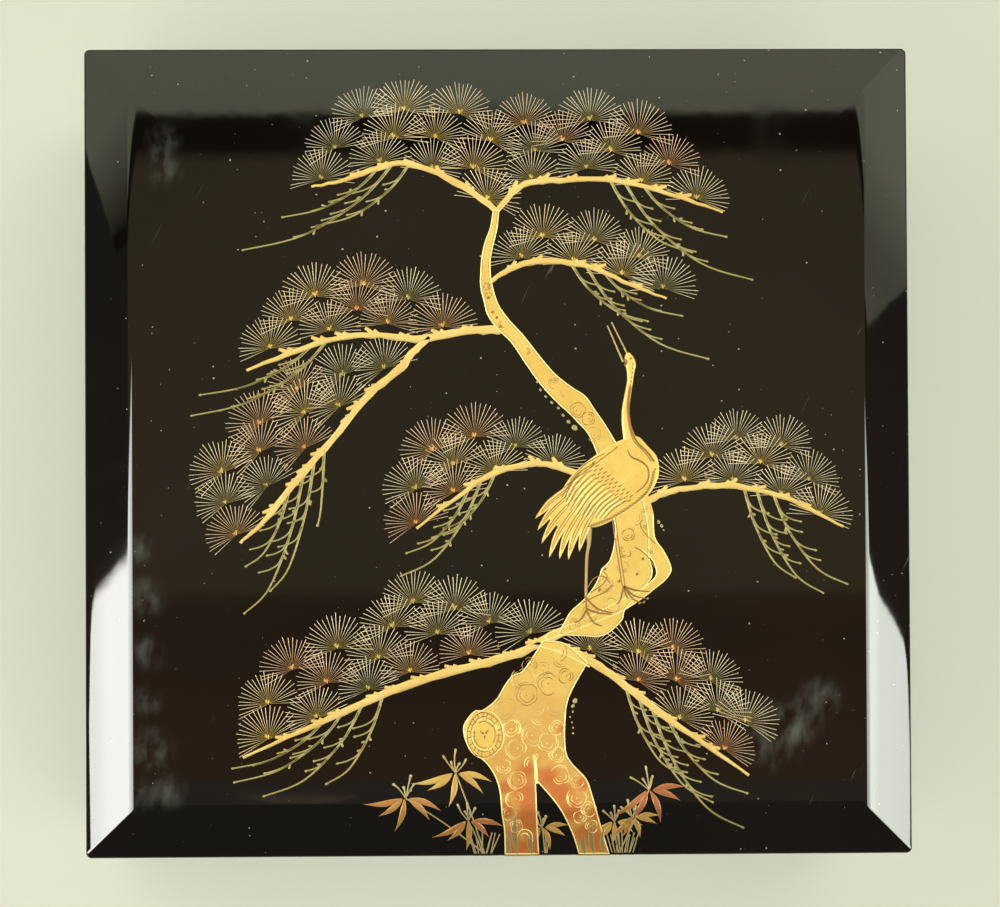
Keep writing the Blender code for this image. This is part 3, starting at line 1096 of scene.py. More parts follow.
def make_needles():
    """Makes the fans of needles over each bough."""
    rng = random.Random(23)
    fans = [needle_fan(rng) for _ in range(FAN_KINDS)]
    material = needle_material()
    for name, bough in BOUGHS.items():
        mesh = new_mesh()
        path = bough_path(name)
        for x, y in bough.fans:
            place = Vector((x, y))
            matrix = Matrix.Translation(place.to_3d()) @ Matrix.Rotation(
                fan_turn(path, place) + rng.uniform(-0.1, 0.1), 4, "Z",
            ) @ Matrix.Scale(rng.uniform(*FAN_SIZES), 4)
            rusty = rng.random() < bough.rust
            tint = rng.uniform(0.75, 1) if rusty else rng.uniform(0, 0.6)
            add_copy(mesh, rng.choice(fans), matrix, tint)
        add_to_lid(f"needles_{name}", mesh, material)


# The crane.

# Where the feathers' lines run, as paths of (x, y), and how many there are.
QUILL_ROOTS = ((24.5, -5.6), (28.5, -8.4), (33, -12.2), (37.4, -14.6))
QUILL_TIPS = ((19, -13.8), (20.4, -17.2), (24, -19.2), (30.4, -20))
QUILLS = 23
FEATHER_ROW = ((28, -3.2), (40, -14))
FEATHER_ROWS = 3
FEATHERS = 11
BACK_LINES = 3
SHOULDER_LINES = 7
SHOULDER = (
    (37.4, 0, 0.16), (38.4, -2, 0.26), (41, -3.2, 0.28), (43, -5, 0.28), (43.4, -8, 0.26), (42, -10.6, 0.22),
    (39.6, -12.4, 0.14),
)
BELLY = ((27, -22.6), (33, -20.2), (40.5, -15.4), (44.4, -11), (45.8, -5.5))
BELLY_HAIRS = 34
THROAT = ((38, 12), (38.4, 17), (39, 21), (39.3, 24.5))
THROAT_DASHES = 11
CAP = ((36.7, 24.4, 0.3), (37.2, 25.6, 0.36), (36.8, 26.4, 0.2))
EYE = ((38.1, 26.2, 0.1), (38.5, 26.7, 0.24), (38.8, 26.4, 0.1))
FAR_ANKLE = ((25, -42.2, 0.3), (25.1, -46.2, 0.26))

# The breast's two lines, as (x, y, how much of the second one's shift is kept).
BREAST = (
    (45, -3.4, 1), (43, -0.6, 1), (40.2, 2.2, 1), (38.6, 5.4, 0.6), (37.9, 9, 0.5), (37.6, 13, 0.4),
    (38.3, 18.5, 0.4),
)


def plumes():
    """Each plume's root and tip, and its height as a share of the body's."""
    for index, (root_x, root_y, tip_x, tip_y) in enumerate(PLUMES):
        yield Vector((root_x, root_y)), Vector((tip_x, tip_y)), 1.01 + 0.012 * index


def plume_bends(root, tip):
    """The two places between a plume's root and its tip where it bends."""
    run = tip - root
    middle = root + run * 0.55 + Vector((-0.06 * abs(run.y), 0.03 * abs(run.y)))
    return middle, root + run * 0.84 + Vector((-0.04 * abs(run.y), 0))


def add_plume(mesh, root, tip, lift):
    """Adds one curved, pointed feather of the tail."""
    middle, near_tip = plume_bends(root, tip)
    points = [(*root, 0.9), (*middle, 1.2), (*near_tip, 0.68), (*tip, 0.05)]
    add_stroke(mesh, smooth(points, pieces=5), lift, DOME)


def add_toe(mesh, heel, toe, base):
    """Adds a toe from its heel."""
    middle = heel + Vector((toe.x * 0.45, toe.y * 0.75))
    add_line(mesh, [(*heel, 0.3), (*middle, 0.26), (*(heel + toe), 0.12)], base, 0, 4)


def add_wing_lines(mesh, base):
    """Adds the lines of the wing: quills with light between them, short feathers, back and shoulder."""
    roots = smooth(QUILL_ROOTS)
    tips = smooth(QUILL_TIPS)
    for index in range(QUILLS):
        share = index / (QUILLS - 1)
        root = along(roots, share)[0].to_2d()
        tip = along(tips, share)[0].to_2d()
        middle = root.lerp(tip, 0.5) + Vector((-0.5, 0.45))
        bright = index % 2
        half = 0.26 if bright else 0.18
        quill = [(*root, half * 0.5), (*middle, half), (*tip, half * 0.6)]
        add_line(mesh, quill, base * (1 - 0.04 * bright), bright)
    first, last = (Vector(place) for place in FEATHER_ROW)
    for row in range(FEATHER_ROWS):
        for index in range(FEATHERS):
            place = first.lerp(last, (index + 0.5 * (row % 2)) / FEATHERS) + Vector((-1.1, -0.8)) * row
            add_line(mesh, [(*place, 0.1), (*(place + Vector((-1, -0.7))), 0.22)], base, 0, 2)
    for index in range(BACK_LINES):
        share = index / (BACK_LINES - 1)
        start = Vector((30.5, -1)).lerp(Vector((25.5, -6.2)), share)
        end = Vector((20.6, -8.8)).lerp(Vector((18.2, -13.6)), share)
        middle = start.lerp(end, 0.5) + Vector((-0.7, 0.7))
        add_line(mesh, [(*start, 0.1), (*middle, 0.16), (*end, 0.1)], base)
    for index in range(SHOULDER_LINES):
        start = Vector((34.5, 1)).lerp(Vector((21, -9)), index / (SHOULDER_LINES - 1))
        add_line(mesh, [(*start, 0.18), (*(start + Vector((-2.4, -2.0))), 0.1)], base, 0, 2)
    add_line(mesh, SHOULDER, base)


def add_down_lines(mesh, base):
    """Adds the short hairs along the crane's belly and breast."""
    belly = smooth(BELLY)
    for index in range(BELLY_HAIRS):
        point, direction = along(belly, index / (BELLY_HAIRS - 1))
        start = point.to_2d() + left_of(direction) * 0.35
        end = start + left_of(direction) * 0.8 - direction * 1.5
        add_line(mesh, [(*start, 0.17), (*end, 0.1)], base, 0, 2)
    for shift, half in ((0, 0.3), (-0.75, 0.16)):
        add_line(mesh, [(x + kept * shift, y, half) for x, y, kept in BREAST], base * 1.02)


def add_head_lines(mesh, base):
    """Adds the dashes up the throat, the cap and the eye."""
    throat = smooth(THROAT)
    for index in range(THROAT_DASHES):
        point, direction = along(throat, index / (THROAT_DASHES - 1))
        start = point.to_2d() + left_of(direction) * 0.3
        add_line(mesh, [(*start, 0.2), (*(start + direction * 0.8), 0.18)], base, 0.0, 2)
    add_line(mesh, CAP, base)
    add_line(mesh, EYE, base, 0, 3)


def make_crane():
    """Makes the crane: body, plumes, neck, bill and legs, and the lines drawn on them."""
    body_lift = gold_size("crane_lift")
    leg_lift = gold_size("trunk_lift")
    foot_lift = 1.2 * leg_lift

    body = new_mesh()
    add_plate(body, smooth(CRANE_BODY, True, 5), body_lift, 0.6)
    add_stroke(body, smooth(CRANE_NECK, pieces=5), body_lift * 1.02, DOME)
    for root, tip, share in plumes():
        add_plume(body, root, tip, body_lift * share)
    # The crane's body and plumes have a painted highlight along their edges.
    add_to_lid("crane_body", body, plain_gold_material("crane_gold", "crane", 0.6))

    limbs = new_mesh()
    for path in (*CRANE_BILL, FAR_LEG):
        add_stroke(limbs, smooth(path, pieces=6), body_lift * 0.8, DOME)
    add_to_lid("crane_limbs", limbs, plain_gold_material("limb_gold", "pale"))

    lines = new_mesh()
    add_wing_lines(lines, body_lift)
    add_down_lines(lines, body_lift)
    add_head_lines(lines, body_lift)
    for root, tip, share in plumes():
        middle, near_tip = plume_bends(root, tip)
        for aside, half in ((-0.55, 0.15), (0.3, 0.12)):
            shift = Vector((aside, 0))
            quill = [(*(root + shift), 0.08), (*(middle + shift), half), (*(near_tip + shift * 0.4), 0.08)]
            add_line(lines, quill, body_lift * share)
    for side in (-0.75, 0.75):
        add_line(lines, [(x + side * half, y, 0.13) for x, y, half in FAR_LEG], body_lift * 0.72)
    for side in (-0.4, 0.4):
        add_line(lines, [(x + side, y, 0.18) for x, y in NEAR_LEG], leg_lift)
    for toe in NEAR_TOES:
        add_toe(lines, Vector(NEAR_FOOT), Vector(toe), foot_lift)
    add_line(lines, FAR_ANKLE, foot_lift, 0, 2)
    for lower, *toe in FAR_TOES:
        add_toe(lines, Vector((FAR_FOOT[0], FAR_FOOT[1] + lower)), Vector(toe), foot_lift)
    add_to_lid("crane_lines", lines, line_material())


# Bamboo grass and lichen.

# How many short stems a tuft has to a millimetre of its half breadth, and how far leaves keep off the ground.
TUFT_STEMS = 2.4
LEAF_CLEARANCE = 0.3


def add_leaf(mesh, root, angle, size, breadth, lift, base=0.0, tint=0.0):
    """Adds a pointed leaf from its root."""
    direction = toward(angle)
    bend = left_of(direction) * size * 0.07
    path = []
    for share, fullness in LEAF_SHAPE:
        place = root + direction * size * share + bend * math.sin(share * math.pi)
        path.append(Vector((*place, breadth / 2 * fullness)))
    add_stroke(mesh, path, lift, DOME, base, tint)
    return path


def add_clump(leaves, stems, clump, rng, roots=GRASS_ROOTS, ground=GROUND):
    """Adds one clump of bamboo grass: leaves that hang from a node, buds over it, and its stem."""
    x, y, turn, scale, rust = clump
    lift = gold_size("twig_lift")
    lowest = ground + LEAF_CLEARANCE
    node = Vector((x, y))
    for angle, size in LEAF_SPREAD:
        angle = math.radians(angle + turn + rng.uniform(-5, 5))
        size *= scale * rng.uniform(0.92, 1.05)
        if y + size * math.sin(angle) < lowest:
            size = (lowest - y) / math.sin(angle)
        root = node + Vector((math.cos(angle), 0.2 * math.sin(angle))) * 1.1
        tint = min(max(rust + rng.uniform(-0.2, 0.2), 0), 1)
        path = add_leaf(leaves, root, angle, size - 0.8, 1.9 * scale ** 0.5, lift * 1.2, 0, tint)
        # An upright fin without breadth stands along the leaf's edge and catches the light.
        edge = ribbon(path)
        add_stroke(stems, edge + edge[:1], lift * 0.9, FLAT_LINE, 0, 1.0)
    for angle, size in BUD_SPREAD:
        angle = math.radians(angle + 0.6 * turn + rng.uniform(-8, 8))
        size *= scale * rng.uniform(0.85, 1.1)
        direction = toward(angle)
        middle = node + direction * size * 0.62 + left_of(direction) * rng.uniform(-0.3, 0.3)
        points = [(*node, 0.16), (*middle, 0.2), (*(node + direction * size), 0.3)]
        add_club(stems, points, rng, 0.4)
    foot = Vector((min(roots, key=lambda root: abs(root[0] - x))[0] + rng.uniform(-1, 1), ground))
    middle = node.lerp(foot, 0.5) + Vector((0, 0.6))
    add_stroke(stems, smooth([(*foot, 0.24), (*middle, 0.2), (*node, 0.2)], pieces=5), lift, DOME, tint=0.4)


def tuft_places(half, rng):
    """How far each short stem of a tuft stands from the tuft's middle."""
    count = int(half * TUFT_STEMS)
    for index in range(count):
        yield half * (2 * (index + rng.random()) / count - 1)


def add_tuft(stems, middle, half, rng, ground=GROUND):
    """Adds the short stems that stand about a clump's root."""
    for aside in tuft_places(half, rng):
        foot = Vector((middle + aside * 0.75, ground))
        tip = foot + Vector((aside * 0.5 + rng.uniform(-0.6, 0.6), rng.uniform(3.5, 7.5)))
        add_club(stems, [(*foot, 0.17), (*foot.lerp(tip, 0.6), 0.17), (*tip, 0.15)], rng, 0.22)


def make_grass():
    """Makes the bamboo grass about the trunk's foot, and the lichen."""
    rng = random.Random(31)
    leaves = new_mesh()
    stems = new_mesh()
    for clump in GRASS_CLUMPS:
        add_clump(leaves, stems, clump, rng)
    for middle, half in GRASS_ROOTS:
        add_tuft(stems, middle, half, rng)
    add_to_lid("grass_leaves", leaves, leaf_material("leaf_gold", "gold"))
    add_to_lid("grass_stems", stems, plain_gold_material("stem_gold", "pale"))

    spots = new_mesh()
    for *run, count in LICHEN_RUNS:
        path = smooth(run)
        for index in range(count):
            point, direction = along(path, index / (count - 1))
            place = point.to_2d() + left_of(direction) * rng.uniform(-0.4, 0.4)
            add_spot(spots, place, direction, point.z * rng.uniform(0.8, 1.1), gold_size("twig_lift"))
    add_to_lid("lichen", spots, plain_gold_material("lichen_gold", "olive"))


# The front.

# How high the grass reaches on the lid's rim.
RIM_GRASS_TOP = 9.8


def lay_on_front(mesh):
    """Stands a flat picture against the box's front, and turns its millimetres into metres."""
    seam = LID_LOW.z / MM + bpy.context.scene.food_box_lid.lip_height / MM
    for vert in mesh.verts:
        x, height, lift = vert.co
        vert.co = Vector((x, -HALF_DEPTH - lift, seam + height)) * MM


def make_front():
    """Carries the picture on over the lid's rim and down the top tray, plainly."""
    rng = random.Random(47)
    lift = gold_size("trunk_lift") * 0.6
    plates = new_mesh()
    lines = new_mesh()
    for points in RIM_FEET + ROOTS:
        outline = smooth(points, True, 5)
        add_plate(plates, outline, lift, 0.4)
        add_outline(lines, outline, 0.2, lift * 0.92, 1.0, 0.6)
        for centre, radius in bark_places(outline, 4.4, rng):
            add_mark(lines, centre, radius, lift, rng.uniform(0.3, 0.6), rng)
    for line in GROUND_LINES:
        add_line(lines, line, 0, 0.8)
    leaves = new_mesh()
    stems = new_mesh()
    for clump in FRONT_CLUMPS:
        add_clump(leaves, stems, clump, rng, FRONT_TUFTS, FRONT_GROUND)
    for middle, half in FRONT_TUFTS:
        add_tuft(stems, middle, half, rng, FRONT_GROUND)
    for middle, half in GRASS_ROOTS:
        for aside in tuft_places(half, rng):
            foot = (middle + aside * 0.4, rng.uniform(1.2, 3.5), 0.12)
            blade = smooth([foot, (middle + aside * 0.75, RIM_GRASS_TOP, 0.17)], pieces=3)
            add_stroke(stems, blade, 0.15, DOME, tint=0.4)
    for mesh in (plates, lines, leaves, stems):
        lay_on_front(mesh)
    add_piece("front_trunk", plates, trunk_material())
    add_piece("front_lines", lines, line_material())
    add_piece("front_leaves", leaves, leaf_material("leaf_gold", "gold"))
    add_piece("front_stems", stems, plain_gold_material("stem_gold", "pale"))


# Materials. Colours are given as they reflect, and places in metres.

# The sockets of a Mix node that mixes colours.
MIX_FACTOR, MIX_A, MIX_B, MIX_RESULT = 0, 6, 7, 2

# The lacquer: its other tone, its milky patches, its dust, how rough it is, and how high its waves stand.
BROWN_TONE = (0.011, 0.006, 0.0035, 1)
HAZE_TONE = (0.39, 0.43, 0.36, 1)
HAZE_STRENGTH = 0.2
DUST_TONE = (0.36, 0.34, 0.29, 1)
LACQUER_ROUGHNESS = 0.02
SMEAR_ROUGHNESS = 0.05
WAVE_HEIGHT = 0.0001

# How the dust and the hairs lie: cells to the metre, a speck's least and largest share of its cell, and the
# spread and turn of the hairs.
DUST_CELLS = 400.0
SPECK_SIZES = (0.035, 0.08)
SPECK_RARITY = 0.4
HAIR_STRETCH = (1 / 70, 1 / 1300, 1 / 70)
HAIR_TURN = 1.1
HAZE_STRETCH = (1 / 300, 1 / 150, 1 / 300)
HAZE_TURN = -0.12

# The golds: roughness, and what their powder darkens them to in patches and between its grains.
GOLD_ROUGHNESS = 0.45
PATCH_TONE = (0.93, 0.84, 0.68, 1)
GRAIN_TONE = (0.9, 0.88, 0.84, 1)
POWDER_HEIGHT = 0.000015

# The needles' colours from their green over the golden to the rusty ones.
NEEDLE_ROOTS = ((0.0, (0.25, 0.21, 0.06)), (0.5, (0.52, 0.36, 0.07)), (1.0, (0.46, 0.21, 0.07)))
NEEDLE_TIPS = ((0.0, (0.82, 0.73, 0.52)), (0.5, (0.95, 0.77, 0.47)), (1.0, (0.85, 0.58, 0.39)))

# Where the trunk turns warm, and further down orange, from and to these places on Y.
WARM_FROM, WARM_TO, ORANGE_TO = -0.058, -0.084, -0.1


def add_node(tree, kind, inputs=None, **settings):
    """Adds a shader node, sets it up, and gives its inputs values or links."""
    node = tree.nodes.new(kind)
    for key, value in settings.items():
        setattr(node, key, value)
    for key, value in (inputs or {}).items():
        if isinstance(value, bpy.types.NodeSocket):
            tree.links.new(value, node.inputs[key])
        else:
            node.inputs[key].default_value = value
    return node


def calculate(tree, operation, first, second, clamp=False):
    """A value worked out from two others."""
    node = add_node(tree, "ShaderNodeMath", {0: first, 1: second}, operation=operation, use_clamp=clamp)
    return node.outputs[0]


def times(tree, first, second, clamp=False):
    """One value times another."""
    return calculate(tree, "MULTIPLY", first, second, clamp)


def plus(tree, first, second, clamp=False):
    """One value and another."""
    return calculate(tree, "ADD", first, second, clamp)


def fade(tree, value, low, high):
    """0 where a value is at low, 1 where it is at high, and smooth between."""
    inputs = {"Value": value, "From Min": low, "From Max": high}
    return add_node(tree, "ShaderNodeMapRange", inputs, interpolation_type="SMOOTHSTEP").outputs["Result"]


def blend(tree, share, first, second, kind="MIX"):
    """A colour between two others."""
    inputs = {MIX_FACTOR: share, MIX_A: first, MIX_B: second}
    node = add_node(tree, "ShaderNodeMix", inputs, data_type="RGBA", blend_type=kind)
    return node.outputs[MIX_RESULT]


def ramp(tree, value, stops):
    """A colour read off a row of (place, colour) stops."""
    node = add_node(tree, "ShaderNodeValToRGB", {"Fac": value})
    elements = node.color_ramp.elements
    for index, (place, shade) in enumerate(stops):
        element = elements[index] if index < len(elements) else elements.new(place)
        element.position = place
        element.color = (*shade, 1)
    return node.outputs["Color"]


def noise(tree, places, scale, detail=2.0, distortion=0.0):
    """A noise value between 0 and 1 over the surface."""
    inputs = {"Vector": places, "Scale": scale, "Detail": detail, "Distortion": distortion}
    return add_node(tree, "ShaderNodeTexNoise", inputs).outputs["Fac"]


def object_places(tree):
    """The places of the surface, in metres."""
    return add_node(tree, "ShaderNodeTexCoord").outputs["Object"]


def stretched(tree, places, turn, stretch):
    """Places turned about the upright axis and measured in steps as long as the stretch."""
    inputs = {"Vector": places, "Rotation": (0, 0, turn), "Scale": stretch}
    return add_node(tree, "ShaderNodeMapping", inputs, vector_type="TEXTURE").outputs["Vector"]


def value_of(tree, name):
    """A value that the mesh keeps."""
    return add_node(tree, "ShaderNodeAttribute", attribute_name=name).outputs["Fac"]


def new_group(name, inputs, outputs):
    """An empty shader node group of plain values, with its ends."""
    group = bpy.data.node_groups.new(name, "ShaderNodeTree")
    for label, default in inputs.items():
        socket = group.interface.new_socket(label, in_out="INPUT", socket_type="NodeSocketFloat")
        socket.default_value = default
    for label in outputs:
        group.interface.new_socket(label, in_out="OUTPUT", socket_type="NodeSocketFloat")
    return group, group.nodes.new("NodeGroupInput"), group.nodes.new("NodeGroupOutput")


def age_group():
    """Dust, hairlines, smears and waves of old lacquer."""
    if "lacquer_age" in bpy.data.node_groups:
        return bpy.data.node_groups["lacquer_age"]
    inputs = {"Dust": 1.0, "Hairlines": 1.0, "Smears": 1.0}
    group, given, result = new_group("lacquer_age", inputs, ("Pale", "Rough", "Height"))
    places = object_places(group)
    cells = add_node(group, "ShaderNodeTexVoronoi", {"Vector": places, "Scale": DUST_CELLS})
    chance = add_node(group, "ShaderNodeSeparateColor", {"Color": cells.outputs["Color"]})
    least, largest = SPECK_SIZES
    size = plus(group, times(group, calculate(group, "POWER", chance.outputs["Red"], 5.0), largest), least)
    speck = calculate(group, "LESS_THAN", cells.outputs["Distance"], size)
    speck = times(group, speck, calculate(group, "GREATER_THAN", chance.outputs["Green"], SPECK_RARITY))
    speck = times(group, speck, given.outputs["Dust"])
    along_hairs = stretched(group, places, HAIR_TURN, HAIR_STRETCH)
    hair = fade(group, noise(group, along_hairs, 1.0, 1.0, 0.4), 0.72, 0.78)
    hair = times(group, hair, fade(group, noise(group, places, 45.0), 0.55, 0.7))
    hair = times(group, hair, given.outputs["Hairlines"])
    smear = fade(group, noise(group, places, 30.0, 5.0, 0.6), 0.5, 0.85)
    smear = times(group, smear, given.outputs["Smears"])
    pale = plus(group, speck, times(group, hair, 0.18), clamp=True)
    fine = times(group, noise(group, places, 110.0), 0.03)
    waves = plus(group, noise(group, places, 9.0, 1.0), fine)
    for value, label in ((pale, "Pale"), (smear, "Rough"), (waves, "Height")):
        group.links.new(value, result.inputs[label])
    return group


def powder_group():
    """Sprinkled gold powder: Patch changes slowly over the surface, Grain quickly."""
    if "gold_powder" in bpy.data.node_groups:
        return bpy.data.node_groups["gold_powder"]
    inputs = {"Patch Scale": 120.0, "Grain Scale": 2200.0}
    group, given, result = new_group("gold_powder", inputs, ("Patch", "Grain"))
    places = object_places(group)
    patch = noise(group, places, given.outputs["Patch Scale"], 4.0, 0.4)
    grain = noise(group, places, given.outputs["Grain Scale"])
    group.links.new(fade(group, patch, 0.3, 0.7), result.inputs["Patch"])
    group.links.new(fade(group, grain, 0.25, 0.75), result.inputs["Grain"])
    return group


def new_material(name, roughness, metallic):
    """A material with plain values set, and its tree and shader."""
    material = bpy.data.materials.new(name)
    material.use_nodes = True
    tree = material.node_tree
    shader = tree.nodes["Principled BSDF"]
    shader.inputs["Roughness"].default_value = roughness
    shader.inputs["Metallic"].default_value = metallic
    return material, tree, shader


def add_group(tree, group, **values):
    """Places a node group in a material with its own values."""
    node = tree.nodes.new("ShaderNodeGroup")
    node.node_tree = group
    for label, value in values.items():
        node.inputs[label.replace("_", " ")].default_value = value
    return node


def patches(tree, places, centres):
    """1 over the middle of each of some round places of the lid, and 0 at their edges."""
    total = 0.0
    plan = add_node(tree, "ShaderNodeVectorMath", {0: places, 1: (1, 1, 0)}, operation="MULTIPLY").outputs[0]
    for x, y, radius in centres:
        centre = (x * MM, y * MM, 0)
        distance = add_node(tree, "ShaderNodeVectorMath", {0: plan, 1: centre}, operation="DISTANCE")
        total = plus(tree, total, fade(tree, distance.outputs["Value"], radius * MM, 0.0))
    return total


def haze_mask(tree, places, haze_places):
    """Milky patches about some places of the lid's flat."""
    cloud = noise(tree, stretched(tree, places, HAZE_TURN, HAZE_STRETCH), 1.0, 8.0, 0.2)
    return times(tree, patches(tree, places, haze_places), fade(tree, cloud, 0.32, 0.85), clamp=True)


def lacquer_material(name, haze_places, dust):
    """Polished black lacquer with dust, hairlines and milky patches."""
    colours = bpy.context.scene.food_box_colours
    material, tree, shader = new_material(name, 0.03, 0.0)
    places = object_places(tree)
    age = add_group(tree, age_group(), Dust=dust, Hairlines=dust, Smears=dust)
    tone = fade(tree, noise(tree, places, 6.0, 3.0), 0.35, 0.75)
    base = blend(tree, tone, (*colours.lacquer, 1), BROWN_TONE)
    if haze_places:
        haze = times(tree, haze_mask(tree, places, haze_places), HAZE_STRENGTH)
        base = blend(tree, haze, base, HAZE_TONE)
    base = blend(tree, age.outputs["Pale"], base, DUST_TONE)
    tree.links.new(base, shader.inputs["Base Color"])
    roughness = plus(tree, times(tree, age.outputs["Rough"], SMEAR_ROUGHNESS), LACQUER_ROUGHNESS)
    tree.links.new(roughness, shader.inputs["Roughness"])
    bump = add_node(tree, "ShaderNodeBump", {"Height": age.outputs["Height"], "Distance": WAVE_HEIGHT})
    tree.links.new(bump.outputs["Normal"], shader.inputs["Normal"])
    return material


def powdered(tree, shade):
    """A gold's colour, made uneven as sprinkled powder is."""
    powder = add_group(tree, powder_group())
    deep = blend(tree, 1.0, shade, PATCH_TONE, "MULTIPLY")
    base = blend(tree, powder.outputs["Patch"], deep, shade)
    darker = blend(tree, 1.0, base, GRAIN_TONE, "MULTIPLY")
    return blend(tree, powder.outputs["Grain"], darker, base)


def finish_gold(tree, shader, base):
    """Gives a gold its colour and the grain of its powder."""
    powder = add_group(tree, powder_group(), Grain_Scale=1500.0)
    tree.links.new(base, shader.inputs["Base Color"])
    bump = add_node(tree, "ShaderNodeBump", {"Height": powder.outputs["Grain"], "Distance": POWDER_HEIGHT})
    tree.links.new(bump.outputs["Normal"], shader.inputs["Normal"])


def plain_gold_material(name, shade_name, edge=0.0):
    """Sprinkled gold of one colour, with a painted highlight along its edges by a share."""
    if name in bpy.data.materials:
        return bpy.data.materials[name]
    material, tree, shader = new_material(name, GOLD_ROUGHNESS, 0.4)
    colours = bpy.context.scene.food_box_colours
    shade = (*getattr(colours, shade_name), 1)
    if edge:
        # Painted highlight: bright gold laid along the edges, where raised gold would catch the light.
        shade = blend(tree, times(tree, value_of(tree, "rim"), edge), shade, (*colours.bright, 1))
    finish_gold(tree, shader, powdered(tree, shade))
    return material


def trunk_material():
    """Gold that turns warm towards the trunk's foot and orange in patches, with a painted highlight along its
    edge.
    """
    if "trunk_gold" in bpy.data.materials:
        return bpy.data.materials["trunk_gold"]
    colours = bpy.context.scene.food_box_colours
    material, tree, shader = new_material("trunk_gold", GOLD_ROUGHNESS, 0.4)
    places = object_places(tree)
    y = add_node(tree, "ShaderNodeSeparateXYZ", {"Vector": places}).outputs["Y"]
    shade = blend(tree, fade(tree, y, WARM_FROM, WARM_TO), (*colours.gold, 1), (*colours.flesh, 1))
    about_knot = patches(tree, places, ((*KNOT, 10),))
    shade = blend(tree, fade(tree, about_knot, 0.2, 0.6), shade, (*colours.crane, 1))
    ragged = times(tree, calculate(tree, "SUBTRACT", noise(tree, places, 240.0, 3.0), 0.5), 0.9)
    warm = plus(tree, patches(tree, places, ORANGE_PLACES), ragged)
    warm = plus(tree, warm, times(tree, fade(tree, y, WARM_TO, ORANGE_TO), 0.38))
    shade = blend(tree, fade(tree, warm, 0.08, 1.1), shade, (*colours.orange, 1))
    # Painted highlight: bright gold along the edges of the trunk's plates.
    shade = blend(tree, times(tree, value_of(tree, "rim"), 0.7), shade, (*colours.bright, 1))
    finish_gold(tree, shader, powdered(tree, shade))
    return material


def line_material():
    """Drawn lines: ochre where the tint is 0, pale gold where it is 1."""
    if "drawn_line" in bpy.data.materials:
        return bpy.data.materials["drawn_line"]
    colours = bpy.context.scene.food_box_colours
    material, tree, shader = new_material("drawn_line", GOLD_ROUGHNESS, 0.3)
    shade = ramp(tree, value_of(tree, "tint"), ((0.2, colours.ochre), (0.75, colours.bright)))
    finish_gold(tree, shader, shade)
    return material


def needle_material():
    """Needles, each fan of its own tint, deeper at the root than at the tips."""
    material, tree, shader = new_material("needle_gold", 0.5, 0.3)
    tint = value_of(tree, "tint")
    roots = ramp(tree, tint, NEEDLE_ROOTS)
    tips = ramp(tree, tint, NEEDLE_TIPS)
    finish_gold(tree, shader, blend(tree, fade(tree, value_of(tree, "reach"), 0.1, 0.65), roots, tips))
    return material


def leaf_material(name, shade_name):
    """Leaves of bamboo grass: the named gold to rust by their tint, with a painted highlight along the edge.
    """
    if name in bpy.data.materials:
        return bpy.data.materials[name]
    colours = bpy.context.scene.food_box_colours
    material, tree, shader = new_material(name, GOLD_ROUGHNESS, 0.35)
    deep = [0.78 * part for part in getattr(colours, shade_name)]
    shade = ramp(tree, value_of(tree, "tint"), ((0.2, deep), (0.9, colours.rust)))
    # Painted highlight: the leaves' edges paled towards the crane's gold.
    bright = times(tree, fade(tree, value_of(tree, "rim"), 0.6, 0.95), 0.5)
    finish_gold(tree, shader, powdered(tree, blend(tree, bright, shade, (*colours.crane, 1))))
    return material


def lacquer_trays():
    """Gives the trays their lacquer."""
    material = lacquer_material("tray_lacquer", (), 0.5)
    for name in TRAYS:
        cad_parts[name].material_slots[0].material = material


# The studio. Its places are in metres.

# What the overhead cards show, from the back of the room to the front.
GREY = (0.91, 0.95, 0.68)
BROWN = (0.26, 0.21, 0.12)
UMBER = (0.15, 0.09, 0.055)
RUSSET = (0.225, 0.12, 0.065)
SHADE = (0.155, 0.14, 0.11)
GLEAM = (0.53, 0.34, 0.23)
DARK = (0.0, 0.0, 0.0)

# The floor: how far it reaches, how it bends up to its rim, how it glows, and how much painted shade darkens
# its colour and glow away from the box.
FLOOR_REACH = 3.0
FLOOR_BEND = 0.6
FLOOR_RIM = 1.2
FLOOR_STEPS = 12
FLOOR_TURNS = 96
FLOOR_GLOW = 0.24
FLOOR_PAINTED_SHADE = 0.83
FLOOR_MIDDLE = (-0.03, 0, 0)

# Where each window starts, measured along its width from its middle.
WINDOW_FRONT = -0.31

# The soft light overhead, and the air.
LIGHT_SIZE = 3
LIGHT_PLACE = (0, -0.1, 2.6)
LIGHT_COLOUR = (1.0, 1.0, 0.93)
AIR_COLOUR = (0.9, 0.95, 0.85, 1)
AIR_STRENGTH = 0.12

# The camera, turned in degrees.
CAMERA_PLACE = (-0.0509, -0.0514, 1.6945)
CAMERA_TURN = (1.949, -1.956, -0.304)
CAMERA_LENS = 185.5
CAMERA_SENSOR = 36


def glow_material(name, strength, shade_in):
    """A material that only glows, in the colour that shade_in works out in its tree."""
    material = bpy.data.materials.new(name)
    material.use_nodes = True
    tree = material.node_tree
    tree.nodes.remove(tree.nodes["Principled BSDF"])
    glow = add_node(tree, "ShaderNodeEmission", {"Color": shade_in(tree), "Strength": strength})
    tree.links.new(glow.outputs["Emission"], tree.nodes["Material Output"].inputs["Surface"])
    return material


def shade_along(tree, stops):
    """A colour that changes along Y by stops of (place, colour)."""
    low = stops[0][0]
    high = stops[-1][0]
    y = add_node(tree, "ShaderNodeSeparateXYZ", {"Vector": object_places(tree)}).outputs["Y"]
    share = add_node(tree, "ShaderNodeMapRange", {"Value": y, "From Min": low, "From Max": high})
    shares = [((place - low) / (high - low), shade) for place, shade in stops]
    return ramp(tree, share.outputs["Result"], shares)


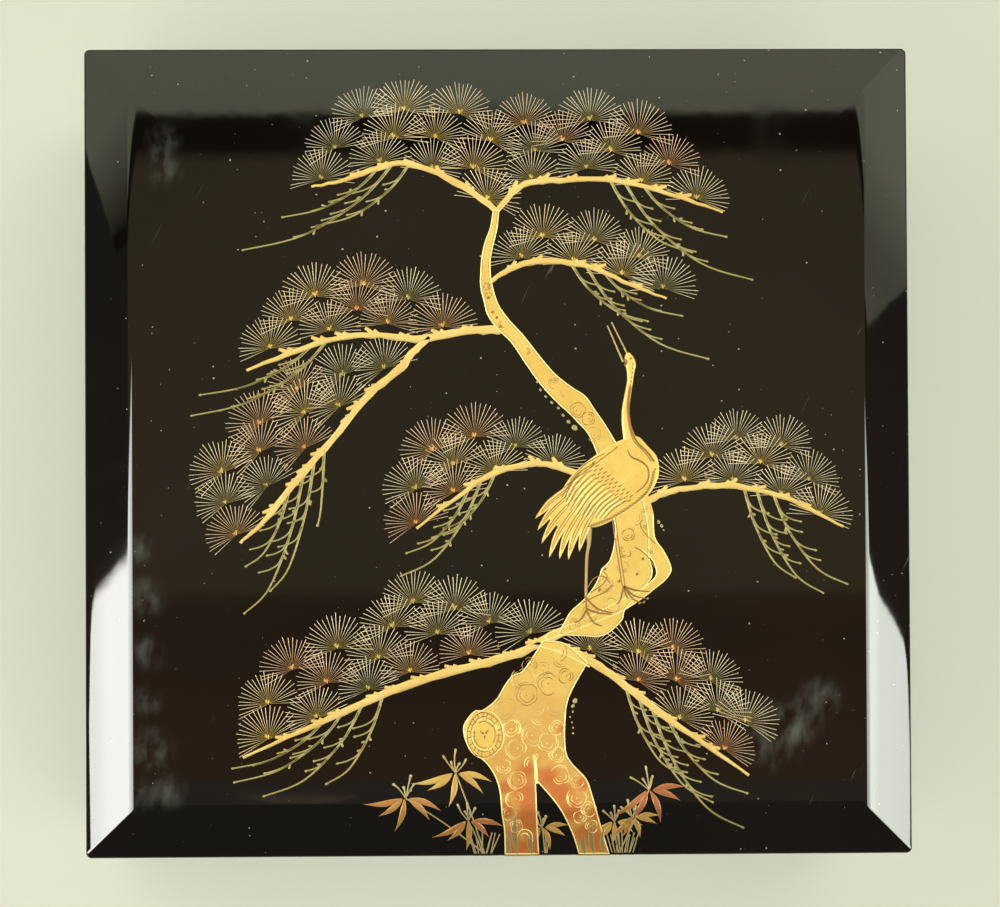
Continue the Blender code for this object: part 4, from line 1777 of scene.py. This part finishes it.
def add_stage(name, mesh, material):
    """Makes a part of the studio, which isn't part of the box."""
    data = bpy.data.meshes.new(name)
    mesh.to_mesh(data)
    mesh.free()
    data.materials.append(material)
    data.shade_smooth()
    piece = bpy.data.objects.new(name, data)
    bpy.context.scene.collection.objects.link(piece)
    return piece


def add_reflection(name, mesh, material):
    """Makes a part of the studio that only reflections show."""
    piece = add_stage(name, mesh, material)
    piece.visible_camera = False
    piece.visible_diffuse = False
    piece.visible_shadow = False


def add_floor():
    """Adds the pale floor, which curves up to a low rim all round, with painted shade darkening it away from
    the box.
    """
    material, tree, shader = new_material("studio_paper", 0.9, 0.0)
    floor = bpy.context.scene.food_box_studio.floor
    beside = {0: object_places(tree), 1: FLOOR_MIDDLE}
    away = add_node(tree, "ShaderNodeVectorMath", beside, operation="DISTANCE").outputs["Value"]
    # Painted shade: the floor's colour, and its glow with it, darkens away from a point a little left of the
    # box.
    painted_shade_floor = [part * FLOOR_PAINTED_SHADE for part in floor]
    shade = blend(tree, fade(tree, away, 0.13, 0.25), (*floor, 1), (*painted_shade_floor, 1))
    tree.links.new(shade, shader.inputs["Base Color"])
    tree.links.new(shade, shader.inputs["Emission Color"])
    shader.inputs["Emission Strength"].default_value = FLOOR_GLOW
    mesh = bmesh.new()
    flat = FLOOR_REACH - FLOOR_BEND
    profile = [Vector((0.001, 0, 0)), Vector((flat, 0, 0))]
    for step in range(1, FLOOR_STEPS + 1):
        angle = step / FLOOR_STEPS * math.pi / 2
        across = flat + FLOOR_BEND * math.sin(angle)
        profile.append(Vector((across, 0, FLOOR_BEND - FLOOR_BEND * math.cos(angle))))
    profile.append(Vector((FLOOR_REACH, 0, FLOOR_RIM)))
    verts = [mesh.verts.new(place) for place in profile]
    edges = [mesh.edges.new(pair) for pair in zip(verts, verts[1:])]
    bmesh.ops.spin(
        mesh, geom=verts + edges, cent=(0, 0, 0), axis=(0, 0, 1), angle=math.tau, steps=FLOOR_TURNS,
        use_merge=True,
    )
    pole = [edge for edge in mesh.edges if edge.is_boundary and edge.calc_length() < 0.01]
    bmesh.ops.holes_fill(mesh, edges=pole)
    bmesh.ops.recalc_face_normals(mesh, faces=mesh.faces)
    add_stage("studio_floor", mesh, material)


def grey(share):
    """The grey of the overhead cards, dimmed to a share."""
    return tuple(part * share for part in GREY)


def add_card(name, low, high, stops, cut=(0, 0)):
    """Adds a glowing card over the box, from the corner low to the corner high, that only reflections show.

    Its colour changes along Y by the stops. The outer halves of its front edge run back by cut, on the left
    and on the right."""
    mesh = bmesh.new()
    bmesh.ops.create_grid(mesh, x_segments=2, y_segments=1, size=1)
    middle = (Vector(low) + Vector(high)) / 2
    half = (Vector(high) - Vector(low)) / 2
    for vert in mesh.verts:
        if vert.co.y < 0:
            vert.co.y += (cut[0] * (vert.co.x < -0.5) + cut[1] * (vert.co.x > 0.5)) / half.y
    matrix = Matrix.Translation(middle) @ Matrix.Diagonal((half.x, half.y, 1, 1))
    bmesh.ops.transform(mesh, matrix=matrix, verts=mesh.verts)
    strength = bpy.context.scene.food_box_studio.card
    add_reflection(name, mesh, glow_material(name, strength, lambda tree: shade_along(tree, stops)))


def read_off(stops, value):
    """A value read off a row of (place, value) stops."""
    for (low, first), (high, second) in zip(stops, stops[1:]):
        if value < high:
            return first + (second - first) * max(value - low, 0) / (high - low)
    return stops[-1][1]


def add_window(name, place, target, reaches, tones, softness, strength, tint):
    """Adds a tall bright window that faces the box and that only reflections show.

    The reaches tell how far back it goes at each height, and the tones how bright it is there."""
    mesh = bmesh.new()
    glow_of = mesh.verts.layers.float.new("glow")
    bmesh.ops.create_grid(mesh, x_segments=24, y_segments=40, size=1)
    facing = (Vector(target) - Vector(place)).normalized()
    aside = facing.cross(Vector((0, 0, 1))).normalized()
    up = aside.cross(facing)
    backward = aside * math.copysign(1, aside.y)
    low, high = reaches[0][0], reaches[-1][0]
    for vert in mesh.verts:
        share = 1 - ((1 - vert.co.x) / 2) ** 3
        height = low + (high - low) * ((vert.co.y + 1) / 2) ** 2
        reach = read_off(reaches, height)
        further = (reach - WINDOW_FRONT) * share
        vert[glow_of] = read_off(tones, height) * min((reach - WINDOW_FRONT - further) / softness, 1)
        vert.co = Vector(place) + backward * (WINDOW_FRONT + further) + up * height

    def shade_in(tree):
        return blend(tree, value_of(tree, "glow"), (*DARK, 1), (*tint, 1))

    add_reflection(name, mesh, glow_material(name, strength, shade_in))


def add_soft_light(strength):
    """Adds the wide soft light overhead, which reflections don't show."""
    data = bpy.data.lights.new("soft_light", "AREA")
    data.size = LIGHT_SIZE
    data.energy = strength * math.pi * data.size ** 2
    data.color = LIGHT_COLOUR
    lamp = bpy.data.objects.new("soft_light", data)
    lamp.location = LIGHT_PLACE
    lamp.visible_camera = False
    lamp.visible_glossy = False
    bpy.context.scene.collection.objects.link(lamp)


def make_studio():
    """Makes the floor, the lights and the camera."""
    studio = bpy.context.scene.food_box_studio
    add_floor()
    add_card("studio_card_left", (-4.66, 0.24, 1.8), (0.6, 3.75, 1.8), (
        (0.254, DARK), (0.262, grey(0.16)), (0.28, grey(0.3)), (0.31, grey(0.62)), (0.35, GREY),
    ), (0.6, 0))
    add_card("studio_card_right", (0.6, 0.157, 1.8), (3.1, 3.75, 1.8), (
        (0.178, DARK), (0.186, grey(0.75)), (0.235, grey(0.6)), (0.265, grey(0.7)), (0.35, grey(1.25)),
    ), (0, 0.115))
    add_card("studio_strip", (-1.7, -0.26, 1.79), (1.5, 0.45, 1.79), (
        (-0.25, SHADE), (-0.147, SHADE), (-0.139, RUSSET), (-0.12, RUSSET), (-0.06, UMBER), (-0.035, UMBER),
        (-0.028, BROWN), (0.229, BROWN), (0.236, DARK), (0.2575, DARK), (0.2615, GREY),
    ))
    add_card("studio_gleam", (-0.107, -0.159, 1.785), (-0.03, -0.15, 1.785), (
        (-0.159, SHADE), (-0.1545, GLEAM), (-0.15, SHADE),
    ), (0.007, 0.006))
    add_window(
        "window_left", (-1.3, -0.32, 1.17), (-0.1, -0.07, 0.2),
        ((-0.13, 0.24), (-0.12, 0.27), (-0.11, 0.295), (-0.095, 0.306), (-0.08, 0.311), (0.1, 0.308),
         (0.2, 0.335), (0.7, 0.36)),
        ((-0.13, 0.84), (-0.08, 0.88), (-0.04, 0.97), (0.0, 1.0), (0.12, 1.0), (0.2, 0.85), (0.7, 0.5)),
        0.009, studio.window * 1.05, (1.0, 1.0, 0.95),
    )
    add_window(
        "window_right", (1.3, -0.348, 1.1), (0.1, -0.07, 0.2),
        ((-0.185, 0.25), (-0.172, 0.286), (-0.16, 0.304), (-0.139, 0.316), (-0.085, 0.321), (0.02, 0.322),
         (0.08, 0.345), (0.2, 0.37), (0.5, 0.38)),
        ((-0.185, 0.76), (-0.13, 0.8), (-0.05, 0.83), (0.01, 0.83), (0.035, 0.98), (0.06, 0.95), (0.1, 0.75),
         (0.2, 0.6), (0.5, 0.4)),
        0.003, studio.window * 0.97, (0.96, 1.0, 0.91),
    )
    add_soft_light(studio.soft)
    world = bpy.data.worlds.new("studio_air")
    world.use_nodes = True
    world.node_tree.nodes["Background"].inputs["Color"].default_value = AIR_COLOUR
    world.node_tree.nodes["Background"].inputs["Strength"].default_value = AIR_STRENGTH
    scene = bpy.context.scene
    scene.world = world
    scene.view_settings.view_transform = "Standard"

    data = bpy.data.cameras.new("camera")
    data.lens = CAMERA_LENS
    data.sensor_width = CAMERA_SENSOR
    camera = bpy.data.objects.new("camera", data)
    camera.location = CAMERA_PLACE
    camera.rotation_euler = [math.radians(turn) for turn in CAMERA_TURN]
    scene.collection.objects.link(camera)
    scene.camera = camera


# Operators, panel and registration.


class FOODBOX_OT_lid(bpy.types.Operator):
    """Make the lid's lacquered shell"""

    bl_idname = "food_box.lid"
    bl_label = "Lid"

    def execute(self, context):
        make_lid()
        return {"FINISHED"}


class FOODBOX_OT_trays(bpy.types.Operator):
    """Lacquer the trays"""

    bl_idname = "food_box.trays"
    bl_label = "Trays"

    def execute(self, context):
        lacquer_trays()
        return {"FINISHED"}


class FOODBOX_OT_trunk(bpy.types.Operator):
    """Lay the pine's trunk on the lid"""

    bl_idname = "food_box.trunk"
    bl_label = "Trunk"

    def execute(self, context):
        make_trunk()
        return {"FINISHED"}


class FOODBOX_OT_boughs(bpy.types.Operator):
    """Lay the boughs and their hanging twigs on the lid"""

    bl_idname = "food_box.boughs"
    bl_label = "Boughs and Twigs"

    def execute(self, context):
        make_boughs()
        return {"FINISHED"}


class FOODBOX_OT_needles(bpy.types.Operator):
    """Lay the fans of needles on the lid"""

    bl_idname = "food_box.needles"
    bl_label = "Needles"

    def execute(self, context):
        make_needles()
        return {"FINISHED"}


class FOODBOX_OT_crane(bpy.types.Operator):
    """Lay the crane on the lid"""

    bl_idname = "food_box.crane"
    bl_label = "Crane"

    def execute(self, context):
        make_crane()
        return {"FINISHED"}


class FOODBOX_OT_grass(bpy.types.Operator):
    """Lay the bamboo grass and the lichen on the lid"""

    bl_idname = "food_box.grass"
    bl_label = "Bamboo Grass"

    def execute(self, context):
        make_grass()
        return {"FINISHED"}


class FOODBOX_OT_front(bpy.types.Operator):
    """Carry the picture on down the box's front"""

    bl_idname = "food_box.front"
    bl_label = "Front"

    def execute(self, context):
        make_front()
        return {"FINISHED"}


class FOODBOX_OT_studio(bpy.types.Operator):
    """Make the floor, the lights and the camera"""

    bl_idname = "food_box.studio"
    bl_label = "Studio"

    def execute(self, context):
        make_studio()
        return {"FINISHED"}


OPERATORS = (
    FOODBOX_OT_lid, FOODBOX_OT_trays, FOODBOX_OT_trunk, FOODBOX_OT_boughs, FOODBOX_OT_needles,
    FOODBOX_OT_crane, FOODBOX_OT_grass, FOODBOX_OT_front, FOODBOX_OT_studio,
)


class FOODBOX_PT_panel(bpy.types.Panel):
    """The food box's pieces, in order"""

    bl_label = "Food Box"
    bl_space_type = "VIEW_3D"
    bl_region_type = "UI"
    bl_category = "Food Box"

    def draw(self, context):
        for operator in OPERATORS:
            self.layout.operator(operator.bl_idname)


SETTINGS = {
    "food_box_lid": FoodBoxLidSizes,
    "food_box_picture": FoodBoxPictureSizes,
    "food_box_colours": FoodBoxColours,
    "food_box_studio": FoodBoxStudioSizes,
}
CLASSES = (*SETTINGS.values(), *OPERATORS, FOODBOX_PT_panel)


def register():
    """Registers the classes and gives the scene its settings."""
    for item in CLASSES:
        bpy.utils.register_class(item)
    for name, group in SETTINGS.items():
        setattr(bpy.types.Scene, name, PointerProperty(type=group))


def unregister():
    """Takes the settings and the classes away again."""
    for name in SETTINGS:
        delattr(bpy.types.Scene, name)
    for item in reversed(CLASSES):
        bpy.utils.unregister_class(item)


def main():
    """Makes every piece in order."""
    register()
    for operator in OPERATORS:
        name = operator.bl_idname.split(".")[1]
        getattr(bpy.ops.food_box, name)()


if __name__ == "__main__":
    main()
